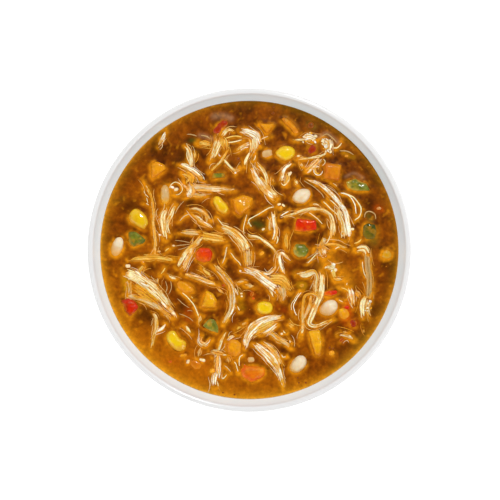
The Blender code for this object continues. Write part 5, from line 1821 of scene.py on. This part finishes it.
@dataclass
class Broth:
    """The broth up to its level, with a meniscus at the wall and round each piece."""

    bowl: GlazedBowl
    level: float
    chart: Chart
    discs: Array
    cells: int = 284
    wall_meniscus: float = 0.25
    piece_meniscus: float = 0.14
    reach_of_halo: float = 6.0
    skirt_start_deg: float = 60.0
    skirt_rows: int = 8
    skirt_gap: float = 0.05
    # Darker spots in the broth at listed places, as x, y and size
    dark_spots: tuple = ((5, 13, 3.4), (-30, 55.3, 2.4), (-33.5, 48, 3.4), (-49, -9, 2.2), (61, 24, 4.0),
                      (-37, 45, 3.6), (64, -30, 3.6), (-60, 22, 4.5), (36, 3.6, 2.2), (10, 0, 2.6),
                      (-50, -34, 4.0), (-30, 24, 3.0), (30, 36, 3.2), (-54, -32, 4.0), (64, 36, 4.0),
                      (-22, -44, 2.6), (-9, 42.5, 2.0), (14, 31, 2.4), (-10, -10, 2.4),
                      (58, -32, 3.4), (38, -19, 2.2), (11, -60, 2.4), (-34, -29, 2.6))
    sunken: tuple[Sunken, ...] = (
        Sunken("-18,67.5 -13,67.8 -9.5,66.5", 3.0, Hue.MAUVE, 0.5),
        Sunken("-25,58 -22,57.4 -19,56", 2.2, Hue.MAUVE, 0.5),
        Sunken("36,57.4 39,59 42.5,56.5 44.8,54.4", 2.0, Hue.MAUVE, 0.5),
        Sunken("47.5,49 50.5,47.5 52.5,46.8", 2.6, Hue.CORN_DEEP, 0.35),
        Sunken("48.5,37 53,38.8 57.5,36.5", 1.6, Hue.MAUVE, 0.35),
        Sunken("64.4,21.5 66.2,20.4", 3.4, Hue.ORANGE, 0.35),
        Sunken("30.3,63.6 32.2,62.2", 3.6, Hue.GREEN, 0.3),
        Sunken("-62.2,-15.5 -61.6,-19", 4.4, Hue.CORN_DEEP, 0.65),
        Sunken("25.4,-17.6 27.6,-18", 3.6, Hue.CORN_DEEP, 0.6),
        Sunken("-30,-56 -27,-59 -23.4,-58.6", 8.0, Hue.CARROT_DEEP, 0.4),
        Sunken("-36.8,-56.4 -42,-56.4", 4.0, Hue.RED_DEEP, 0.22),
        Sunken("49,-34.5 49.5,-28.5", 5.0, Hue.ORANGE, 0.55),
        Sunken("53.4,-36.4 52.4,-38", 4.0, Hue.RED_DEEP, 0.6),
        Sunken("46.6,-45.5 47.4,-46", 3.0, Hue.RED_DEEP, 0.5),
        Sunken("-30.6,-30 -31,-35", 4.4, Hue.RED_DEEP, 0.4),
        Sunken("1,-22 2.2,-23", 3.0, Hue.RED_DEEP, 0.6),
        Sunken("17.6,-30.4 14,-29", 3.4, Hue.RED_DEEP, 0.3),
        Sunken("58.6,-44 55,-52 50,-56", 9.0, Hue.GREEN_DEEP, 0.25),
        Sunken("-29.5,55.3 -28,55.5", 2.6, Hue.GREEN_DEEP, 0.6),
        Sunken("60,17.4 61.5,15.4", 3.2, Hue.GREEN_DEEP, 0.6),
        Sunken("61,9 62.5,4.6", 6.4, Hue.GREEN_DEEP, 0.6),
        Sunken("3,13.5 6.5,12", 4.6, Hue.GREEN_DEEP, 0.5),
        Sunken("-68,24 -64,26", 4.0, Hue.GREEN_DEEP, 0.25),
        Sunken("39,-5 44,-11 48,-15", 10.0, Hue.BROTH_HALO, 0.55),
        Sunken("-37,27 -42,33", 4.0, Hue.BROTH_HALO, 0.3),
        Sunken("-5.6,-21 -4,-29", 4.0, Hue.CORN_DEEP, 0.3))

    def disc(self) -> Array:
        """Map a square grid to the unit disc, ring by ring.

        A cell's distance from the middle of the square becomes its radius,
        and its place along that square's side becomes its angle.

        Returns:
            Places by row, column and axis.
        """
        side = np.linspace(-1, 1, self.cells + 1)
        a, b = np.meshgrid(side, side, indexing="ij")
        wide = np.abs(a) > np.abs(b)
        radius = np.where(wide, a, b)
        with np.errstate(divide="ignore", invalid="ignore"):
            angle = np.where(wide, math.pi / 4 * b / a, math.pi / 2 - math.pi / 4 * a / b)
        angle = np.where(radius == 0, 0.0, angle)
        return np.stack([radius * np.cos(angle), radius * np.sin(angle)], axis=-1)

    def tints(self, plan: Array, near: Array, facing: Array, edge: Array) -> Array:
        """Colour the broth from dark brown at the far right to golden at the near left, as painted shade.

        Cloudy noise lightens and darkens it, and dark spots at listed places
        darken it. Oil makes a golden halo round each piece, made stronger on
        its near left side as painted light, and the far right side of each
        piece gets a painted shade. Sunken things show through, the film at
        the wall is brightened as a painted highlight, and a golden band
        beside it is painted light, both brightest on the near left.

        Args:
            plan: Places in plan.
            near: Distance to the nearest piece.
            facing: From -1 on a piece's far right side to 1 on its near left side.
            edge: Distance to the wall.

        Returns:
            One colour for each place.
        """
        # Place along the light's direction: the broth is painted darker at the far right, where the rim's
        # shadow falls, and lighter at the near left, as painted shade
        along_light = plan @ np.array([-0.45, -0.9]) / self.bowl.rim_radius
        warp = np.column_stack([noise(plan, 2.2, 2, 51), noise(plan, 2.2, 2, 52)])
        swirl = plan @ np.array([[0.84, -0.54], [0.54, 0.84]]) + 0.9 * warp
        cloud = noise(swirl, 10.0, 4, 21)
        fine = noise(swirl, 2.4, 3, 22)
        # Painted shade from far right to near left, plus cloudy tone
        painted_shade_and_cloud = 0.25 * along_light + 0.38 * smooth_step(0.45, 0.85, along_light) - 0.04
        painted_shade_and_cloud = painted_shade_and_cloud + 0.5 * cloud + 0.5 * fine
        colour = mix(shade_of(Hue.BROTH_MID), shade_of(Hue.BROTH_LIGHT), 1.6 * painted_shade_and_cloud)
        colour = mix(colour, shade_of(Hue.BROTH_DARK), -2.2 * painted_shade_and_cloud)
        warm = np.exp(-np.clip(near, 0, None) / 3.0)
        warm = warm * smooth_step(-0.5, 0.5, cloud + 1.2 * fine + 0.15)
        colour = mix(colour, shade_of(Hue.BROTH_WARM), 0.9 * warm)
        # Golden oil round each piece, made stronger on its near left side as painted light
        halo = np.exp(-(np.clip(near, 0, None) / 1.15) ** 2)
        halo = halo * np.clip(0.6 + 0.3 * facing + 1.1 * noise(swirl, 3.0, 2, 23), 0, 1)
        # A painted shade beside the far right side of each piece
        far_side_painted_shade = np.exp(-((near - 0.9) / 1.2) ** 2) * np.clip(-facing + 0.5 * cloud, 0, 1)
        colour = mix(colour, shade_of(Hue.BROTH_DARK), 0.55 * far_side_painted_shade)
        colour = mix(colour, shade_of(Hue.BROTH_HALO), 0.82 * halo)
        # Darken the broth at the listed dark spots
        for x, y, size in self.dark_spots:
            far = ((plan - [x, y]) ** 2).sum(axis=1)
            dark = np.exp(-far / size ** 2) * np.clip(near + 0.4, 0, 1)
            colour = mix(colour, shade_of(Hue.BROTH_DARK) * 0.7, 0.8 * dark)
        for item in self.sunken:
            shown = self.chart.read(self.chart.stroke(item.route, item.width), plan)
            shown = shown * (1 + 0.4 * noise(plan, 1.8, 2, 29))
            colour = mix(colour, shade_of(item.hue), item.strength * shown)
        speck = smooth_step(0.2, 0.7, noise(swirl, 1.9, 2, 41))
        colour = mix(colour, shade_of(Hue.BROTH_HALO), 0.4 * speck)
        pit = smooth_step(0.25, 0.7, noise(swirl, 1.9, 2, 42))
        colour = mix(colour, shade_of(Hue.BROTH_DARK), 0.35 * pit)
        # The film at the wall gets a painted highlight and a golden band of painted light, both brightest
        # on the near left
        wall_painted_light = np.clip(0.6 + 0.5 * along_light, 0.3, 1)
        colour = mix(colour, shade_of(Hue.PAINTED_LIGHT_GOLD), 0.95 * wall_painted_light * np.exp(-edge / 1.8))
        return mix(colour, shade_of(Hue.RIM_FILM_HIGHLIGHT), wall_painted_light * smooth_step(0.6, 0.1, edge))

    def surface(self, reach: float) -> tuple[Array, Array]:
        """Work out the broth's top and its colours.

        The height is the level, a bank of fluid at the wall and at each piece
        that falls off as exp(-distance), and lumpy noise, calm by the wall.

        Args:
            reach: The broth's radius at its top.

        Returns:
            Places, and one colour for each.
        """
        plan = (self.disc() * reach).reshape(-1, 2)
        edge = reach - np.linalg.norm(plan, axis=1)
        gaps = self.chart.distances(self.discs, self.reach_of_halo)
        rise = np.gradient(gaps, self.chart.cell)
        near = self.chart.read(gaps, plan)
        facing = self.chart.read(-0.5 * rise[0] - 0.87 * rise[1], plan)
        height = self.level + self.wall_meniscus * np.exp(-edge)
        height = height + self.piece_meniscus * np.exp(-np.clip(near, 0, None))
        calm = smooth_step(0.0, 2.0, edge)
        busy = 0.4 + 0.6 * np.exp(-np.clip(near, 0, None) / 4)
        height = height + calm * busy * (0.24 * noise(plan, 6.0, 3, 31) + 0.1 * noise(plan, 1.6, 2, 32))
        return np.column_stack([plan, height]), self.tints(plan, near, facing, edge)

    def build(self) -> int:
        """Make the broth's top on the disc and its underside down the bowl's wall.

        Returns:
            The number of triangles.
        """
        reach = self.bowl.radius_at(self.level + 0.15)
        surface, tints = self.surface(reach)
        count = self.cells + 1
        index = np.arange(count * count).reshape(count, count)
        cells = np.stack([index[:-1, :-1], index[1:, :-1], index[1:, 1:], index[:-1, 1:]], axis=-1)
        border = np.concatenate([index[-1, :-1], index[:0:-1, -1], index[0, :0:-1], index[:-1, 0]])
        angle = np.arctan2(surface[border, 1], surface[border, 0])
        skirt = self.bowl.wall(np.linspace(self.skirt_start_deg, 0, self.skirt_rows), -self.skirt_gap)
        skirt = skirt[skirt[:, 1] < self.level - 1]
        rings = turned(skirt, angle)
        under = np.broadcast_to(shade_of(Hue.BROTH_MID), rings.shape)
        below = Skin.over(rings, rings[0].mean(axis=0), np.array([0, 0, skirt[-1, 1]]), under)
        around = len(border)
        here = np.arange(around)
        after = (here + 1) % around
        offset = len(surface)
        bridge = np.column_stack([border, offset + here, offset + after, border[after]])
        tail = below.triangles[around:] + offset
        points = np.vstack([surface, below.points])
        colours = np.vstack([tints, below.tints])
        keep = np.ones(len(points), bool)
        keep[offset + len(rings) * around] = False
        number = np.cumsum(keep) - 1
        quads = np.vstack([cells.reshape(-1, 4), bridge, below.quads + offset])
        skin = Skin(points[keep], number[quads], number[tail], colours[keep])
        return skin.make("broth", BROTH.make(), "soup", ["soup"])


@dataclass
class Bubbles:
    """Small round beads of oil and air on the broth, some of them on the wall's line."""

    level: float
    around: int = 20
    down: int = 10
    dome: float = 0.28
    beads: tuple = ((12, 69, 1.6), (12.3, 72.3, 1.2), (31, 63, 3.4), (-5.5, 46, 2.0), (-7.5, -73.0, 1.0),
                    (-13.3, -72.0, 0.9), (40.5, -49.3, 1.3), (42.3, -49.8, 1.1), (53, -36, 1.3),
                    (49.3, -32, 1.0), (25, -67, 0.9), (28.5, -67, 1.0), (24.5, -64.5, 0.8),
                    (4.8, -62.2, 0.9), (-31.5, -56, 1.1), (-23, -55.8, 1.0))

    def bead(self, x: float, y: float, size: float) -> Skin:
        """Make a bead: a ball of rings flattened to a low dome, half under the broth.

        Args:
            x: Its x.
            y: Its y.
            size: Its width.

        Returns:
            The bead.
        """
        shape = ball(self.around, self.down)
        rings = shape * [size / 2, size / 2, self.dome * size] + [x, y, self.level + 0.1]
        colour = mix(shade_of(Hue.BROTH_LIGHT), shade_of(Hue.BROTH_MID), shape[..., 2])
        return Skin.over(rings, rings[0].mean(axis=0), rings[-1].mean(axis=0), colour)

    def build(self) -> int:
        """Make every bead as one piece."""
        skins = [self.bead(x, y, size) for x, y, size in self.beads]
        return Skin.joined(skins).make("oil_beads", SOAKED.make(), "soup", [])


@dataclass(frozen=True)
class Lamp:
    """A round lamp: name, azimuth, elevation, distance and size in mm, power in watts."""

    name: str
    azimuth_deg: float
    elevation_deg: float
    distance: float
    size: float
    power: float

    def hang(self) -> None:
        """Hang the lamp and point it at the bowl."""
        azimuth = math.radians(self.azimuth_deg)
        elevation = math.radians(self.elevation_deg)
        disc = bpy.data.lights.new(self.name, "AREA")
        disc.shape = "DISK"
        disc.size = self.size * MM
        disc.energy = self.power
        light = bpy.data.objects.new(self.name, disc)
        bpy.context.scene.collection.objects.link(light)
        reach = self.distance * MM
        light.location = (reach * math.cos(elevation) * math.cos(azimuth),
                          reach * math.cos(elevation) * math.sin(azimuth), reach * math.sin(elevation))
        light.rotation_euler = (math.pi / 2 - elevation, 0, azimuth + math.pi / 2)


@dataclass
class Studio:
    """A white floor, a key light at the far side, two weak fills, a soft sky and the camera.

    The sky is dark straight overhead, so that level broth mirrors no veil of
    light into the camera, and bright round the sides.
    """

    rim_height: float
    view_width: float = 250.0
    camera_height: float = 1000.0
    camera_shift: float = 0.33
    sensor: float = 36.0
    lamps: tuple[Lamp, ...] = (Lamp("key", 68.0, 63.0, 1200.0, 85.0, 5.5),
                               Lamp("fill", -42.0, 36.0, 1200.0, 420.0, 1.6),
                               Lamp("bounce", 215.0, 38.0, 1200.0, 700.0, 1.8))
    sky_strength: float = 1.03
    horizon_share: float = 0.55
    bright_from: float = 0.4
    zenith_strength: float = 0.05
    zenith: tuple[float, float] = (0.80, 0.95)
    floor_half: float = 3000.0
    floor_hue: str = "#F7F7F7"
    floor_glow: float = 0.28

    def floor(self) -> None:
        """Lay a large matt white floor under the bowl."""
        side = self.floor_half * MM
        mesh = bpy.data.meshes.new("floor")
        mesh.from_pydata([(-side, -side, 0), (side, -side, 0), (side, side, 0), (-side, side, 0)],
                         [], [(0, 1, 2, 3)])
        material = bpy.data.materials.new("matt_white_board")
        material.use_nodes = True
        feed(material.node_tree, material.node_tree.nodes["Principled BSDF"], {
            "Base Color": (*linear(self.floor_hue), 1), "Roughness": 0.8, "Specular IOR Level": 0.1,
            "Emission Color": (1, 1, 1, 1), "Emission Strength": self.floor_glow})
        mesh.materials.append(material)
        floor = bpy.data.objects.new("floor", mesh)
        bpy.context.scene.collection.objects.link(floor)

    def sky(self) -> None:
        """Light the scene all round, brightest half way up and dark overhead."""
        world = bpy.data.worlds.new("studio")
        bpy.context.scene.world = world
        world.use_nodes = True
        tree = world.node_tree
        coordinates = add_node(tree, "ShaderNodeTexCoord")
        parts = add_node(tree, "ShaderNodeSeparateXYZ", {"Vector": coordinates.outputs["Generated"]})
        ranges = ((*self.zenith, self.sky_strength, self.zenith_strength),
                  (0.0, self.bright_from, self.horizon_share, 1.0))
        steps = [add_node(tree, "ShaderNodeMapRange", {
            "Value": parts.outputs["Z"], "From Min": start, "From Max": end, "To Min": low, "To Max": high},
            interpolation_type="SMOOTHSTEP") for start, end, low, high in ranges]
        total = add_node(tree, "ShaderNodeMath", {
            index: step.outputs["Result"] for index, step in enumerate(steps)}, operation="MULTIPLY")
        feed(tree, tree.nodes["Background"], {"Color": (1, 1, 1, 1), "Strength": total.outputs["Value"]})

    def camera(self) -> None:
        """Hang the camera over the bowl, looking straight down."""
        lens = bpy.data.cameras.new("camera")
        lens.sensor_width = self.sensor
        lens.lens = self.sensor * self.camera_height / self.view_width
        lens.clip_start = 0.01
        lens.clip_end = 20.0
        view = bpy.data.objects.new("camera", lens)
        view.location = (self.camera_shift * MM, 0, (self.rim_height + self.camera_height) * MM)
        bpy.context.scene.collection.objects.link(view)
        bpy.context.scene.camera = view

    def build(self) -> None:
        """Set up the floor, the lights, the camera and the view's colours."""
        self.floor()
        for lamp in self.lamps:
            lamp.hang()
        self.sky()
        self.camera()
        bpy.context.scene.view_settings.view_transform = "Standard"


def main() -> None:
    """Build the bowl and its soup in order."""
    logging.basicConfig(level=logging.INFO, format="%(name)s %(message)s")
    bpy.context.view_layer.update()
    _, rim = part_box("bowl")
    _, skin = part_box("soup")
    level = skin.z / MM
    bowl = GlazedBowl(rim_radius=rim.x / MM, rim_height=rim.z / MM)
    vegetables = Vegetables(level)
    chicken = ShreddedChicken(Bundles(level))
    strands = LooseStrands(level, Bundles(level))
    bits = SmallBits(level)
    floating = (vegetables, chicken, strands, bits)
    broth = Broth(bowl, level, Chart(), np.vstack([part.discs() for part in floating]))
    grains = Grains(level, bowl.radius_at(level) - 1.5)
    parts = {"bowl": bowl, "broth": broth, "vegetables": vegetables, "chicken": chicken,
             "strands": strands, "bits": bits, "grains": grains, "beads": Bubbles(level)}
    for name, part in parts.items():
        LOG.info("%s: %d triangles", name, part.build())
    Studio(rim_height=rim.z / MM).build()


if __name__ == "__main__":
    main()
